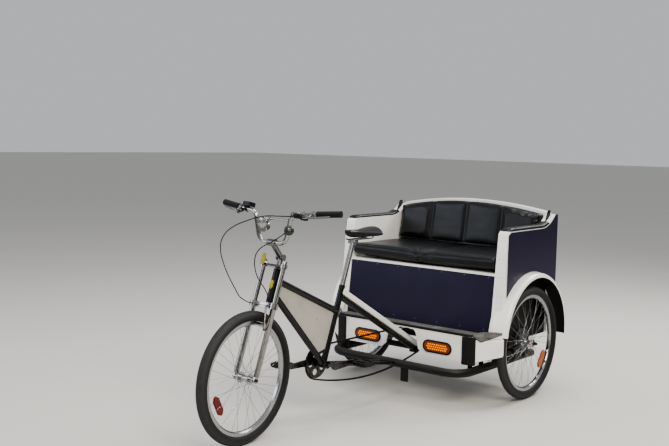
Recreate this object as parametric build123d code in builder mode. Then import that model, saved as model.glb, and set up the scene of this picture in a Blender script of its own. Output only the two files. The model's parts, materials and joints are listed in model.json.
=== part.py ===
# Three-wheeled passenger cycle: a bicycle front half joined to a two-wheeled cab.
# Millimetres. +X is forward, +Y is left, +Z is up, and the ground is Z = 0.
# The origin is on the ground in the middle of the whole length.
import os
from math import asin, atan2, cos, degrees, hypot, pi, radians, sin, sqrt, tan

from build123d import *

os.makedirs("parts", exist_ok=True)

# Wheels
wheelbase = 1760
track = 1200
tyre_radius = 335
tyre_width = 57
rim_edge_radius = 286
rim_width = 25
rim_depth = 22
rim_floor_depth = 6
rim_flange = 1.5
spokes_per_wheel = 36
spoke_crossings = 3
spoke_radius = 1.0
flange_radius = 26
flange_thickness = 8
flange_spacing = 60
spoke_circle = 21
spoke_splay = 2.4
nipple_spread = 2
nipple_splay = 1.2
spoke_bite = 4
hub_body_radius = 15
running_gap = 0.08
seat_gap = 0.3
face_gap = 0.05

# Steering head and fork, placed along the steering axis from the wheel centre
head_angle = 70.5
fork_offset = 40
parked_steer = 4.0
fork_leg_spread = 65
fork_leg_radius = 14
stanchion_radius = 12.5
lower_crown_foot = 356
lower_crown_height = 30
upper_crown_foot = 566
upper_crown_height = 19
crown_step = 4
leg_top = 602
steerer_radius = 14.3
head_tube_radius = 20
head_tube_foot = 392
front_axle_radius = 4.75
front_hub_half = 57
leg_foot = 16
fork_end_thickness = 7
fork_end_radius = 15
fork_end_neck = 11
fork_end_height = 24
nut_radius = 9
nut_height = 8
nut_spare = 4
spacer_gap = 0.5
lower_clamp_radius = 21
upper_clamp_radius = 18

# Handlebar
bar_x = 1585
bar_z = 995
bar_radius = 11.1
bar_bend_out = 84
bar_rise_out = 116
bar_rise = 148
bar_end_out = 372
bar_end_rise = 170
bar_sweep = 58
bar_low_bend = 48
bar_high_bend = 38
crossbar_radius = 6
crossbar_drop = 14
stem_knuckle = 627
quill_radius = 14
knuckle_radius = 17
knuckle_half = 21
stem_arm_radius = 14.5
clamp_radius = 18.5
clamp_half = 24
grip_length = 125
grip_radius = 16
grip_end = 5
lever_from_grip = 22
lever_clamp_half = 9
lever_clamp_radius = 16
lever_body = 38
lever_body_radius = 8
lever_blade_radius = 5
lever_blade_bend = 30
lever_blade_length = 112
head_lamp_drop = 36
head_lamp_right = 28
head_lamp_radius = 29
head_lamp_back = 6
head_lamp_face = 50
head_lamp_arm = 8
barrel_length = 24
barrel_radius = 4
bell_z = 1062
bell_clamp_half = 8
bell_clamp_wall = 4
bell_stand = 18
bell_post_radius = 7
bell_radius = 25
bell_height = 16
bell_rim = 3
bell_spigot = 28
spigot_radius = 4
display_out = 186
display_tilt = 15
display_width = 50
display_length = 50
display_height = 22
display_corner = 7
display_back = 8
display_clamp_half = 8
display_clamp_wall = 4
brake_boss_along = 250
brake_boss_spread = 61
brake_boss_radius = 6
brake_arm_ahead = 27
brake_arm_top = 368
brake_arm_top_spread = 36
brake_arm_radius = 5
brake_holder_length = 10
brake_pad_along = 276
brake_pad_gap = 5
brake_pad_thickness = 9
brake_pad_length = 50
brake_pad_height = 10
brake_stud = 3.5
brake_wire = 1
cable_radius = 2.5

# Bicycle half
bracket_x = 1166
bracket_z = 304
seat_angle = 70
seat_tube_length = 440
seat_tube_radius = 17
seat_post_foot = 336
top_tube_at_seat = 296
top_tube_at_head = 512
down_tube_at_head = 446
main_tube_radius = 17
bracket_shell_radius = 21
bracket_shell_half = 34
lower_stay_radius = 11
lower_stay_spread = 24
spine_radius = 16
upper_stay_width = 36
upper_stay_height = 32
upper_stay_corner = 7
stay_angle = 29.1
stay_plate_thickness = 8
stay_plate_border = 12
saddle_top = 1032
saddle_x = 868
saddle_length = 265
saddle_width = 200
saddle_thickness = 58
saddle_side_radius = 60
saddle_nose_radius = 24
saddle_edge = 20
saddle_rail_half = 90
saddle_rail_spread = 22
saddle_rail_radius = 3.5
saddle_clamp_radius = 14
saddle_clamp_half = 26
seat_post_radius = 13.6
seat_post_drop = 20
frame_sign_thickness = 4
frame_sign_foot = 92

# Drive
chain_line = 45
chain_width = 8
chain_height = 9
chain_clearance = 0.6
chain_sag_radius = 1920
chainring_radius = 85
chainring_thickness = 3
sprocket_radius = 48
crank_boss_radius = 20
crank_eye_radius = 13
crank_root_radius = 19
crank_length = 170
crank_half = 74
crank_thickness = 14
spindle_radius = 8.5
pedal_length = 96
pedal_width = 92
pedal_thickness = 26
pedal_gap = 12
pedal_spindle_radius = 6
pedal_rim = 10

# Chassis under the cab
rail_radius = 24
rail_height = 210
wheel_to_rail = 126
rail_front = 540
rail_rear = 290
rail_corner = 120
cross_tube_x = 280
cross_tube_z = 256
cross_tube_radius = 18
post_radius = 14
axle_radius = 12.5
axle_overhang = 62
axle_stub_radius = 8
bearing_block_length = 90
bearing_block_width = 46
bearing_shoulder = 60
bearing_boss = 24
differential_radius = 52
differential_half = 28
sprocket_boss_radius = 30
drop_bracket_y = 96
drop_bracket_half = 24
drop_bracket_length = 100
drop_bracket_thickness = 10
disc_radius = 80
disc_thickness = 2
wheel_to_disc = 46
disc_gap = 1.5
caliper_half = 11
caliper_depth = 30
caliper_reach = 22
caliper_first_turn = -74
caliper_turn = 58
caliper_pin_radius = 8
caliper_pin_out = 64
caliper_pin_turn = -60
rear_hub_half = 45

# Cab body
wheel_to_wall = 10
wheel_to_wheel_house = 55
wall_thickness = 65
cab_rear = 310
wall_foot = 345
arm_height = 1011
arm_rear_height = 1084
arm_rise_length = 150
arm_rise_bend = 0.33
arm_pocket_depth = 9
pillar_top_x = 255
pillar_foot_x = 315
pillar_corner = 18
floor_height = 415
floor_front = 440
floor_corner_lead = 3
floor_rear = 192
floor_foot = 265
floor_wall = 8
corner_from_wing = 62
wing_front = 431
wing_rear = 342
wing_from_wheel = 113
wing_tip = 11
wing_beyond_wheel = 34
wing_edge = 18
wing_foot_rise = 52
stay_opening_top_half = 96
stay_opening_half = 118
stay_opening_foot_half = 156
stay_opening_corner = 42
stay_opening_foot_corner = 28
lip_height = 9
rear_opening_border = 34
bumper_thickness = 12
bumper_drop = 14
bumper_wrap = 8
bumper_round = 4
front_lamp_y = 255
front_lamp_z = 322
front_lamp_length = 200
front_lamp_height = 76
front_lamp_border = 12
front_lamp_rim = 5
front_lamp_glass = 7
mat_thickness = 3
mat_border = 8
fender_x = -30
fender_z = 372
fender_radius = 378
fender_lip_radius = 352
wheel_to_fender = 48
fender_wall = 6
fender_rear_turn = 185
fender_shoulder = 20
pillar_flare = 12
pillar_flare_turn = 33
sign_foot_x = 315
sign_top_x = 275
sign_thickness = 12
seat_board_top = 764
seat_board_thickness = 14
cushion_height = 96
cushion_front = 290
back_thickness = 36
back_rise = 62
back_cushion_foot = 200
back_cushion_top = 250
back_cushion_drop = 8
cushion_edge = 38
side_sign_thickness = 2
side_sign_border = 12
side_sign_front = 10
side_sign_gap = 2
tail_lamp_y = 400
tail_lamp_z = 500
tail_lamp_length = 170
tail_lamp_height = 64
tail_lamp_thickness = 12
arm_pad_width = 49
arm_pad_thickness = 12
arm_pad_front = 34
arm_pad_rear = 165
canopy_inset = 3
canopy_foot = 45
canopy_rise = 22
canopy_step = 32
canopy_length = 66
canopy_hole_x = 20
canopy_hole_rise = 6
knob_z = 730
knob_inset = 22
knob_radius = 10
knob_neck_radius = 5
knob_neck_length = 8
knob_length = 22
canopy_plate = 5
canopy_hole_radius = 5

wall_outer = track / 2 - wheel_to_wall
wall_inner = wall_outer - wall_thickness
wheel_house_wall = track / 2 - wheel_to_wheel_house
fender_outer = track / 2 + wheel_to_fender
rail_spread = track / 2 - wheel_to_rail
disc_spread = track / 2 - wheel_to_disc
wing_inner = track / 2 - wing_from_wheel
wing_outer = track / 2 + wing_beyond_wheel
corner_inner = wing_inner - corner_from_wing
back_middle_height = arm_rear_height + back_rise
arm_bend_height = arm_height + (arm_rear_height - arm_height) * arm_rise_bend

tail_reach = fender_radius - fender_x
axle_x = -(wheelbase + tyre_radius - tail_reach) / 2
front_x = axle_x + wheelbase
pad_rear = arm_pad_rear - cab_rear
pad_nose = pillar_top_x - arm_pad_front
arm_pad_middle = (pad_rear + pad_nose) / 2
arm_pad_length = pad_nose - pad_rear

head_cos = cos(radians(head_angle))
head_sin = sin(radians(head_angle))
seat_cos = cos(radians(seat_angle))
seat_sin = sin(radians(seat_angle))


def spot(x, y, z):
    # A point, with x counted forward from the rear axle
    return Vector(axle_x + x, y, z)


def side_plane(y=0):
    # Seen from the right: local x is forward of the rear axle, local y is height
    return Plane(origin=(axle_x, y, 0), x_dir=(1, 0, 0), z_dir=(0, -1, 0))


def plan_plane(z):
    return Plane(origin=(axle_x, 0, z), x_dir=(1, 0, 0), z_dir=(0, 0, 1))


def cross_plane(x):
    # Seen from behind: local x is left, local y is height
    return Plane(origin=(axle_x + x, 0, 0), x_dir=(0, 1, 0), z_dir=(1, 0, 0))


# The steering axis runs fork_offset behind the wheel centre, square to it
steer_foot = Vector(front_x - fork_offset * head_sin, 0, tyre_radius - fork_offset * head_cos)
steer_plane = Plane(origin=steer_foot, x_dir=(head_sin, 0, head_cos), z_dir=(-head_cos, 0, head_sin))
steering_axis = Axis(steer_foot, (-head_cos, 0, head_sin))


def on_fork(x, y, along):
    # A point from its distance ahead of the steering axis, left, and up along it
    return steer_plane.from_local_coords(Vector(x, y, along))


def on_seat_tube(along):
    return spot(bracket_x - along * seat_cos, 0, bracket_z + along * seat_sin)


def rod(start, end, radius, mode=Mode.ADD):
    with BuildSketch(Plane(origin=start, z_dir=end - start)) as circle:
        Circle(radius)
    extrude(to_extrude=circle.sketch, amount=(end - start).length, mode=mode)


def across(x, z, start, end, radius, mode=Mode.ADD):
    # A round bar across the vehicle, from one y to another
    rod(spot(x, start, z), spot(x, end, z), radius, mode)


def turned(radius, turn, y):
    # A point on a circle about a crosswise axis, by its turn up from forward
    return Vector(radius * cos(radians(turn)), y, radius * sin(radians(turn)))


def polar(radius, turn, x=0, z=0):
    # The same in a sketch seen from the right, about the point x, z
    return (x + radius * cos(radians(turn)), z + radius * sin(radians(turn)))


def save(builder, label, steered=False):
    piece = builder.part
    if steered:
        piece = piece.rotate(steering_axis, parked_steer)
    piece.label = label
    export_step(piece, f"parts/{label}.step")


def tyre_on(centre, label, steered=False):
    half = tyre_width / 2
    bead = rim_width / 2 - rim_flange - face_gap
    bead_foot = rim_edge_radius - rim_floor_depth + face_gap
    with BuildPart() as tyre:
        with BuildSketch(Plane(origin=centre, x_dir=(0, 1, 0), z_dir=(1, 0, 0))):
            with BuildLine():
                Polyline(
                    (-bead, bead_foot),
                    (-bead, rim_edge_radius + 3),
                    (-half, tyre_radius - half - 2),
                    (-half * 0.78, tyre_radius - 8),
                    (-half * 0.3, tyre_radius),
                    (half * 0.3, tyre_radius),
                    (half * 0.78, tyre_radius - 8),
                    (half, tyre_radius - half - 2),
                    (bead, rim_edge_radius + 3),
                    (bead, bead_foot),
                    close=True,
                )
            make_face()
        revolve(axis=Axis(centre, (0, 1, 0)))
    save(tyre, label, steered)


def wheel_on(centre, bore, hub_half, label, disc_side=0, steered=False):
    half = rim_width / 2
    floor_radius = rim_edge_radius - rim_floor_depth
    rim_foot = rim_edge_radius - rim_depth
    per_set = spokes_per_wheel // 4
    step = 360 / per_set
    swing = spoke_crossings * step / 2
    with BuildPart() as wheel:
        with BuildSketch(Plane(origin=centre, x_dir=(0, 1, 0), z_dir=(1, 0, 0))):
            with BuildLine():
                Polyline(
                    (-half, rim_edge_radius),
                    (-half, rim_foot + 7),
                    (-half * 0.55, rim_foot),
                    (half * 0.55, rim_foot),
                    (half, rim_foot + 7),
                    (half, rim_edge_radius),
                    (half - rim_flange, rim_edge_radius),
                    (half - rim_flange, floor_radius),
                    (rim_flange - half, floor_radius),
                    (rim_flange - half, rim_edge_radius),
                    close=True,
                )
            make_face()
            with BuildLine():
                Polyline(
                    (-hub_half, bore + running_gap),
                    (-hub_half, hub_body_radius - 2),
                    (-flange_spacing / 2 - flange_thickness / 2, hub_body_radius),
                    (-flange_spacing / 2 - flange_thickness / 2, flange_radius),
                    (-flange_spacing / 2 + flange_thickness / 2, flange_radius),
                    (-flange_spacing / 2 + flange_thickness / 2, hub_body_radius),
                    (flange_spacing / 2 - flange_thickness / 2, hub_body_radius),
                    (flange_spacing / 2 - flange_thickness / 2, flange_radius),
                    (flange_spacing / 2 + flange_thickness / 2, flange_radius),
                    (flange_spacing / 2 + flange_thickness / 2, hub_body_radius),
                    (hub_half, hub_body_radius - 2),
                    (hub_half, bore + running_gap),
                    close=True,
                )
            make_face()
        revolve(axis=Axis(centre, (0, 1, 0)))
        # Each flange has spokes that lean forward on its outside and back on its inside
        for flange in (-1, 1):
            for lean in (-1, 1):
                first_turn = (step / 2 if lean < 0 else 0) + (step / 4 if flange > 0 else 0)
                hub_y = flange * (flange_spacing / 2 + lean * spoke_splay)
                rim_y = flange * (nipple_spread + lean * nipple_splay)
                for count in range(per_set):
                    turn = first_turn + count * step
                    hub_end = centre + turned(spoke_circle, turn, hub_y)
                    rim_end = centre + turned(rim_foot + spoke_bite, turn + lean * swing, rim_y)
                    spoke_length = (rim_end - hub_end).length
                    with BuildSketch(Plane(origin=hub_end, z_dir=rim_end - hub_end)):
                        Circle(spoke_radius)
        extrude(amount=spoke_length)
        if disc_side:
            disc_y = disc_side * (disc_spread - track / 2)
            with BuildSketch(Plane(origin=centre, x_dir=(1, 0, 0), z_dir=(0, 1, 0)).offset(disc_y)):
                Circle(disc_radius)
                Circle(bore + running_gap, mode=Mode.SUBTRACT)
                with PolarLocations(disc_radius * 0.62, 10):
                    Circle(disc_radius * 0.1, mode=Mode.SUBTRACT)
            extrude(amount=disc_thickness / 2, both=True)
    save(wheel, label, steered)


# Front wheel and the two rear wheels
wheel_table = (
    # name, centre, bore radius, hub half width, side of the brake disc, steered
    ("front", spot(wheelbase, 0, tyre_radius), front_axle_radius, front_hub_half, 0, True),
    ("rear_left", spot(0, track / 2, tyre_radius), axle_radius, rear_hub_half, 1, False),
    ("rear_right", spot(0, -track / 2, tyre_radius), axle_radius, rear_hub_half, -1, False),
)
for name, centre, bore, hub_half, disc_side, steered in wheel_table:
    tyre_on(centre, name + "_tyre", steered)
    wheel_on(centre, bore, hub_half, name + "_wheel", disc_side, steered)

# Front axle with its nuts outside the fork ends
fork_end_outer = fork_leg_spread + fork_end_thickness / 2
fork_end_inner = fork_leg_spread - fork_end_thickness / 2
with BuildPart() as front_axle:
    front_axle_reach = fork_end_outer + nut_height + nut_spare
    across(wheelbase, tyre_radius, -front_axle_reach, front_axle_reach, front_axle_radius)
    for side in (-1, 1):
        nut_origin = spot(wheelbase, side * (fork_end_outer + face_gap), tyre_radius)
        with BuildSketch(Plane(origin=nut_origin, z_dir=(0, side, 0))):
            RegularPolygon(radius=nut_radius, side_count=6)
        extrude(amount=nut_height)
        spacer_start = side * (front_hub_half + spacer_gap)
        across(wheelbase, tyre_radius, spacer_start, side * (fork_end_inner - face_gap), nut_radius)
save(front_axle, "front_axle", True)

# Double-crown fork
crown_table = (
    # foot along the steering axis, height, radius of the clamp round each leg
    (lower_crown_foot, lower_crown_height, lower_clamp_radius),
    (upper_crown_foot, upper_crown_height, upper_clamp_radius),
)
with BuildPart() as fork:
    for side in (-1, 1):
        leg_y = side * fork_leg_spread
        leg_waist = on_fork(fork_offset, leg_y, lower_crown_foot)
        rod(on_fork(fork_offset, leg_y, leg_foot), leg_waist, fork_leg_radius)
        rod(leg_waist, on_fork(fork_offset, leg_y, leg_top), stanchion_radius)
        end_origin = on_fork(0, leg_y, 0)
        with BuildSketch(Plane(origin=end_origin, x_dir=steer_plane.x_dir, z_dir=(0, -1, 0))):
            with BuildLine():
                CenterArc((fork_offset, 0), fork_end_radius, 180, 180)
                Polyline(
                    (fork_offset + fork_end_radius, 0),
                    (fork_offset + fork_end_neck, fork_end_height),
                    (fork_offset - fork_end_neck, fork_end_height),
                    (fork_offset - fork_end_radius, 0),
                )
            make_face()
            with Locations((fork_offset, 0)):
                Circle(front_axle_radius + face_gap, mode=Mode.SUBTRACT)
        extrude(amount=fork_end_thickness / 2, both=True)
    for foot, height, clamp in crown_table:
        for leg_y in (fork_leg_spread, -fork_leg_spread):
            rod(on_fork(fork_offset, leg_y, foot), on_fork(fork_offset, leg_y, foot + height), clamp)
        # The bridge between the clamps is thinner, and rounded round the steerer
        with BuildSketch(steer_plane.offset(foot + crown_step)):
            with Locations((fork_offset, fork_leg_spread), (fork_offset, -fork_leg_spread)):
                Circle(clamp - crown_step)
            Circle(clamp + 2)
            make_hull()
        extrude(amount=height - 2 * crown_step)
    steerer_foot = lower_crown_foot + crown_step
    rod(on_fork(0, 0, steerer_foot), on_fork(0, 0, upper_crown_foot + upper_crown_height), steerer_radius)
save(fork, "fork", True)

# Stem: a short quill, an angle joint and an arm to the bar clamp
with BuildPart() as stem:
    stem_foot = upper_crown_foot + upper_crown_height + face_gap
    knuckle = on_fork(0, 0, stem_knuckle)
    knuckle_side = Vector(0, knuckle_half, 0)
    clamp_centre = spot(bar_x, 0, bar_z)
    clamp_side = Vector(0, clamp_half, 0)
    rod(on_fork(0, 0, stem_foot), knuckle, quill_radius)
    rod(knuckle - knuckle_side, knuckle + knuckle_side, knuckle_radius)
    rod(knuckle, clamp_centre, stem_arm_radius)
    rod(clamp_centre - clamp_side, clamp_centre + clamp_side, clamp_radius)
    across(bar_x, bar_z, -clamp_half - 1, clamp_half + 1, bar_radius + face_gap, Mode.SUBTRACT)
save(stem, "stem", True)

# Handlebar: a deep U with a crossbar, swept back to the grips
bar_half = [
    spot(bar_x, bar_bend_out, bar_z),
    spot(bar_x, bar_rise_out, bar_z + bar_rise),
    spot(bar_x - bar_sweep, bar_end_out, bar_z + bar_end_rise),
]
bar_points = [Vector(p.X, -p.Y, p.Z) for p in reversed(bar_half)] + bar_half
grip_way = (bar_half[2] - bar_half[1]).normalized()
with BuildPart() as handlebar:
    with BuildLine() as bar_path:
        FilletPolyline(*bar_points, radius=[bar_high_bend, bar_low_bend, bar_low_bend, bar_high_bend])
    with BuildSketch(Plane(origin=bar_points[0], z_dir=bar_path.wires()[0] % 0)):
        Circle(bar_radius)
    sweep()
    crossbar_height = bar_z + bar_rise - crossbar_drop - bar_high_bend * 0.4
    across(bar_x, crossbar_height, -bar_rise_out, bar_rise_out, crossbar_radius)
save(handlebar, "handlebar", True)

# Grips, closed at their outer ends
with BuildPart() as grips:
    for side in (-1, 1):
        way = Vector(grip_way.X, side * grip_way.Y, grip_way.Z)
        bar_end = Vector(bar_half[2].X, side * bar_half[2].Y, bar_half[2].Z)
        rod(bar_end - way * grip_length, bar_end + way * grip_end, grip_radius)
        rod(bar_end - way * grip_length, bar_end + way * face_gap, bar_radius + face_gap, Mode.SUBTRACT)
save(grips, "grips", True)

# Brake levers: a clamp round the bar, a body ahead of it and a blade that runs outward
ahead = Vector(0.94, 0, -0.34)
with BuildPart() as brake_levers:
    for side in (-1, 1):
        way = Vector(grip_way.X, side * grip_way.Y, grip_way.Z)
        bar_end = Vector(bar_half[2].X, side * bar_half[2].Y, bar_half[2].Z)
        clamp = bar_end - way * (grip_length + lever_from_grip)
        body_end = clamp + ahead * lever_body
        rod(clamp - way * lever_clamp_half, clamp + way * lever_clamp_half, lever_clamp_radius)
        rod(clamp, body_end, lever_body_radius)
        barrel = clamp + ahead * (lever_body - 10)
        rod(barrel, barrel - way * barrel_length, barrel_radius)
        rod(clamp - way * lever_body, clamp + way * lever_body, bar_radius + face_gap, Mode.SUBTRACT)
        blade_start = body_end - way * lever_blade_radius
        with BuildLine() as blade_path:
            FilletPolyline(
                blade_start,
                body_end + way * lever_blade_length * 0.27 + ahead * 5,
                body_end + way * lever_blade_length - ahead * 4,
                radius=lever_blade_bend,
            )
        with BuildSketch(Plane(origin=blade_start, z_dir=blade_path.wires()[0] % 0)):
            Circle(lever_blade_radius)
        sweep(path=blade_path.wires()[0])
save(brake_levers, "brake_levers", True)

left_barrel = bar_half[2] - grip_way * (grip_length + lever_from_grip) + ahead * (lever_body - 10)

# Head lamp under the crossbar: a round body turned about its own axis, and its arm
with BuildPart() as head_lamp:
    lamp_z = crossbar_height - head_lamp_drop
    lamp_back = bar_x + head_lamp_back
    lamp_face = bar_x + head_lamp_face
    with BuildSketch(side_plane(-head_lamp_right)):
        with BuildLine():
            Polyline(
                (lamp_back, lamp_z),
                (lamp_back, lamp_z + head_lamp_radius * 0.42),
                (lamp_back + 12, lamp_z + head_lamp_radius * 0.86),
                (lamp_face - 6, lamp_z + head_lamp_radius),
                (lamp_face, lamp_z + head_lamp_radius - 2),
                (lamp_face, lamp_z),
                close=True,
            )
        make_face()
    revolve(axis=Axis(spot(0, -head_lamp_right, lamp_z), (1, 0, 0)))
    with BuildSketch(side_plane(head_lamp_arm - head_lamp_right)):
        with Locations((bar_x, crossbar_height)):
            Circle(crossbar_radius + 4)
        with BuildLine():
            Polyline(
                (bar_x + 2, crossbar_height - 5),
                (bar_x + 9, crossbar_height - 2),
                (bar_x + 24, lamp_z + head_lamp_radius * 0.7),
                (bar_x + 12, lamp_z + head_lamp_radius * 0.5),
                close=True,
            )
        make_face()
        with Locations((bar_x, crossbar_height)):
            Circle(crossbar_radius + face_gap, mode=Mode.SUBTRACT)
    extrude(amount=2 * head_lamp_arm)
save(head_lamp, "head_lamp", True)

# Round bell on the left riser, with a spigot that the long cable leaves
riser_way = (bar_half[1] - bar_half[0]).normalized()
bell_share = (bell_z - bar_z) / bar_rise
bell_foot = bar_half[0] + (bar_half[1] - bar_half[0]) * bell_share
bell_way = Vector(0.6, 0.75, 0.25).normalized()
spigot_aim = on_fork(150, 68, 692)
spigot_way = (spigot_aim - bell_foot).normalized()
spigot_end = bell_foot + spigot_way * bell_spigot
with BuildPart() as bell:
    bell_clamp = riser_way * bell_clamp_half
    rod(bell_foot - bell_clamp, bell_foot + bell_clamp, bar_radius + bell_clamp_wall)
    rod(bell_foot, bell_foot + bell_way * bell_stand, bell_post_radius)
    rod(bell_foot, spigot_end, spigot_radius)
    dome_side = bell_way.cross(Vector(0, 0, 1)).normalized()
    dome_origin = bell_foot + bell_way * bell_stand
    dome_plane = Plane(origin=dome_origin, x_dir=dome_side, z_dir=dome_side.cross(bell_way))
    with BuildSketch(dome_plane):
        with BuildLine():
            Polyline((0, bell_height), (0, 0), (bell_radius, 0), (bell_radius, bell_rim))
            ThreePointArc(
                (bell_radius, bell_rim),
                (bell_radius * 0.72, bell_rim + (bell_height - bell_rim) * 0.68),
                (0, bell_height),
            )
        make_face()
    revolve(axis=Axis(dome_origin, bell_way))
    riser_skin = bar_radius + face_gap
    rod(bell_foot - bell_clamp * 4, bell_foot + bell_clamp * 4, riser_skin, Mode.SUBTRACT)
save(bell, "bell", True)

# Square display on the right of the bar, tilted towards the rider
with BuildPart() as bar_display:
    display_share = (display_out - bar_rise_out) / (bar_end_out - bar_rise_out)
    display_foot = bar_half[1] + (bar_half[2] - bar_half[1]) * display_share
    display_foot = Vector(display_foot.X, -display_foot.Y, display_foot.Z)
    display_way = Vector(grip_way.X, -grip_way.Y, grip_way.Z)
    display_up = Vector(-sin(radians(display_tilt)), 0, cos(radians(display_tilt)))
    display_clamp = display_way * display_clamp_half
    rod(display_foot - display_clamp, display_foot + display_clamp, bar_radius + display_clamp_wall)
    display_origin = display_foot + display_up * bar_radius - Vector(display_back, 0, 0)
    with BuildSketch(Plane(origin=display_origin, x_dir=(0, 1, 0), z_dir=display_up)):
        RectangleRounded(display_width, display_length, display_corner)
    extrude(amount=display_height)
    bar_skin = bar_radius + face_gap
    rod(display_foot - display_clamp * 5, display_foot + display_clamp * 5, bar_skin, Mode.SUBTRACT)
save(bar_display, "bar_display", True)

# Front rim brake: a boss and an arm ahead of each fork leg, joined by a wire
arm_x = fork_offset + brake_arm_ahead
arm_top_y = brake_arm_top_spread
brake_holder_end = arm_top_y + brake_holder_length
with BuildPart() as front_brake:
    for side in (-1, 1):
        boss = on_fork(fork_offset, side * brake_boss_spread, brake_boss_along)
        boss_front = on_fork(arm_x + 4, side * brake_boss_spread, brake_boss_along)
        arm_foot = on_fork(arm_x, side * brake_boss_spread, brake_boss_along)
        arm_top = on_fork(arm_x, side * arm_top_y, brake_arm_top)
        rod(boss, boss_front, brake_boss_radius)
        rod(arm_foot, arm_top, brake_arm_radius)
        rod(arm_top, on_fork(arm_x, side * brake_holder_end, brake_arm_top), brake_arm_radius)
        pad_y = side * (rim_width / 2 + brake_pad_gap + brake_pad_thickness + face_gap)
        pad_back = on_fork(arm_x - 2, pad_y, brake_pad_along)
        rod(pad_back, on_fork(arm_x - 2, side * 58, brake_pad_along), brake_stud)
        leg_y = side * fork_leg_spread
        leg_skin = fork_leg_radius + face_gap
        rod(on_fork(fork_offset, leg_y, 200), on_fork(fork_offset, leg_y, 300), leg_skin, Mode.SUBTRACT)
    wire_start = on_fork(arm_x, -arm_top_y, brake_arm_top)
    rod(wire_start, on_fork(arm_x, arm_top_y, brake_arm_top), brake_wire)
save(front_brake, "front_brake", True)

# Brake pads beside the rim
with BuildPart() as brake_pads:
    for side in (-1, 1):
        pad_start = side * (rim_width / 2 + brake_pad_gap)
        pad_origin = on_fork(arm_x - 2, pad_start, brake_pad_along)
        with BuildSketch(Plane(origin=pad_origin, x_dir=steer_plane.x_dir, z_dir=(0, side, 0))):
            SlotOverall(brake_pad_length, brake_pad_height)
        extrude(amount=brake_pad_thickness)
save(brake_pads, "brake_pads", True)

# Cables: straight runs joined by arcs as large as the runs allow
lever_barrel = left_barrel - grip_way * (barrel_length + face_gap)
crown_top = lower_crown_foot + lower_crown_height - crown_step + face_gap
cable_table = (
    # label, first point, then ahead of the steering axis, left and up along it
    (
        "front_brake_cable",
        lever_barrel,
        (
            (157, 167, 810),
            (166, 118, 807),
            (176, 62, 800),
            (190, 6, 794),
            (202, -50, 776),
            (212, -98, 752),
            (224, -150, 722),
            (232, -195, 680),
            (235, -212, 628),
            (229, -198, 570),
            (212, -170, 515),
            (190, -138, 462),
            (158, -112, 418),
            (112, -106, 381),
            (arm_x, -82, brake_arm_top),
            (arm_x, -brake_holder_end - face_gap, brake_arm_top),
        ),
    ),
    (
        "crown_cable",
        spigot_end + spigot_way * face_gap,
        (
            (150, 68, 692),
            (157, 34, 664),
            (148, 0, 652),
            (138, -36, 632),
            (128, -60, 600),
            (116, -62, 558),
            (107, -46, 515),
            (96, -20, 480),
            (80, 4, 455),
            (62, 18, 432),
            (50, 24, 410),
            (50, 24, crown_top),
        ),
    ),
)
for label, first_point, rest in cable_table:
    route = [first_point] + [on_fork(*place) for place in rest]
    runs = [after - before for before, after in zip(route, route[1:])]
    bends = []
    for before, after in zip(runs, runs[1:]):
        half_turn = radians(before.get_angle(after)) / 2
        bends.append(0.45 * min(before.length, after.length) / tan(half_turn))
    print(label, "radii", [round(bend) for bend in bends])
    with BuildPart() as cable:
        with BuildLine() as cable_path:
            FilletPolyline(*route, radius=bends)
        with BuildSketch(Plane(origin=route[0], z_dir=runs[0])):
            Circle(cable_radius)
        sweep(path=cable_path.wires()[0])
    save(cable, label, True)

# Bicycle frame: main tubes, spine and lower stays
head_top = upper_crown_foot - 1
stay_way = Vector(cos(radians(stay_angle)), 0, sin(radians(stay_angle)))
stay_down = Vector(stay_way.Z, 0, -stay_way.X)
spine_drop = upper_stay_height / 2 + spine_radius + face_gap
plate_face = spot(cross_tube_x, 0, cross_tube_z) + stay_way * (cross_tube_radius + stay_plate_thickness - 2)
stay_foot = plate_face + stay_way * face_gap - stay_down * spine_drop / 2
spine_foot = stay_foot + stay_down * spine_drop
# The stay's line meets the seat tube's where both are the same distance along
seat_foot = spot(bracket_x, 0, bracket_z)
stay_gap = seat_foot - stay_foot
stay_turn = stay_way.X * seat_sin + stay_way.Z * seat_cos
stay_length = (stay_gap.X * seat_sin + stay_gap.Z * seat_cos) / stay_turn
with BuildPart() as bike_frame:
    rod(on_fork(0, 0, head_tube_foot), on_fork(0, 0, head_top), head_tube_radius)
    rod(on_seat_tube(top_tube_at_seat), on_fork(0, 0, top_tube_at_head), main_tube_radius)
    rod(seat_foot, on_fork(0, 0, down_tube_at_head), main_tube_radius)
    rod(seat_foot, on_seat_tube(seat_tube_length), seat_tube_radius)
    across(bracket_x, bracket_z, -bracket_shell_half, bracket_shell_half, bracket_shell_radius)
    rod(spine_foot, spine_foot + stay_way * stay_length, spine_radius)
    for side in (-1, 1):
        stay_start = spot(bracket_x, side * lower_stay_spread, bracket_z)
        rail_point = spot(rail_front, side * lower_stay_spread, rail_height)
        stay_end = rail_point + (stay_start - rail_point).normalized() * (rail_radius + face_gap)
        rod(stay_start, stay_end, lower_stay_radius)
    bracket_bore = spindle_radius + running_gap
    across(bracket_x, bracket_z, -bracket_shell_half - 1, bracket_shell_half + 1, bracket_bore, Mode.SUBTRACT)
    head_bore = steerer_radius + running_gap
    rod(on_fork(0, 0, head_tube_foot - 1), on_fork(0, 0, head_top + 1), head_bore, Mode.SUBTRACT)
    seat_bore = seat_post_radius + face_gap
    rod(on_seat_tube(seat_post_foot - 20), on_seat_tube(seat_tube_length + 1), seat_bore, Mode.SUBTRACT)
save(bike_frame, "bike_frame")

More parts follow.
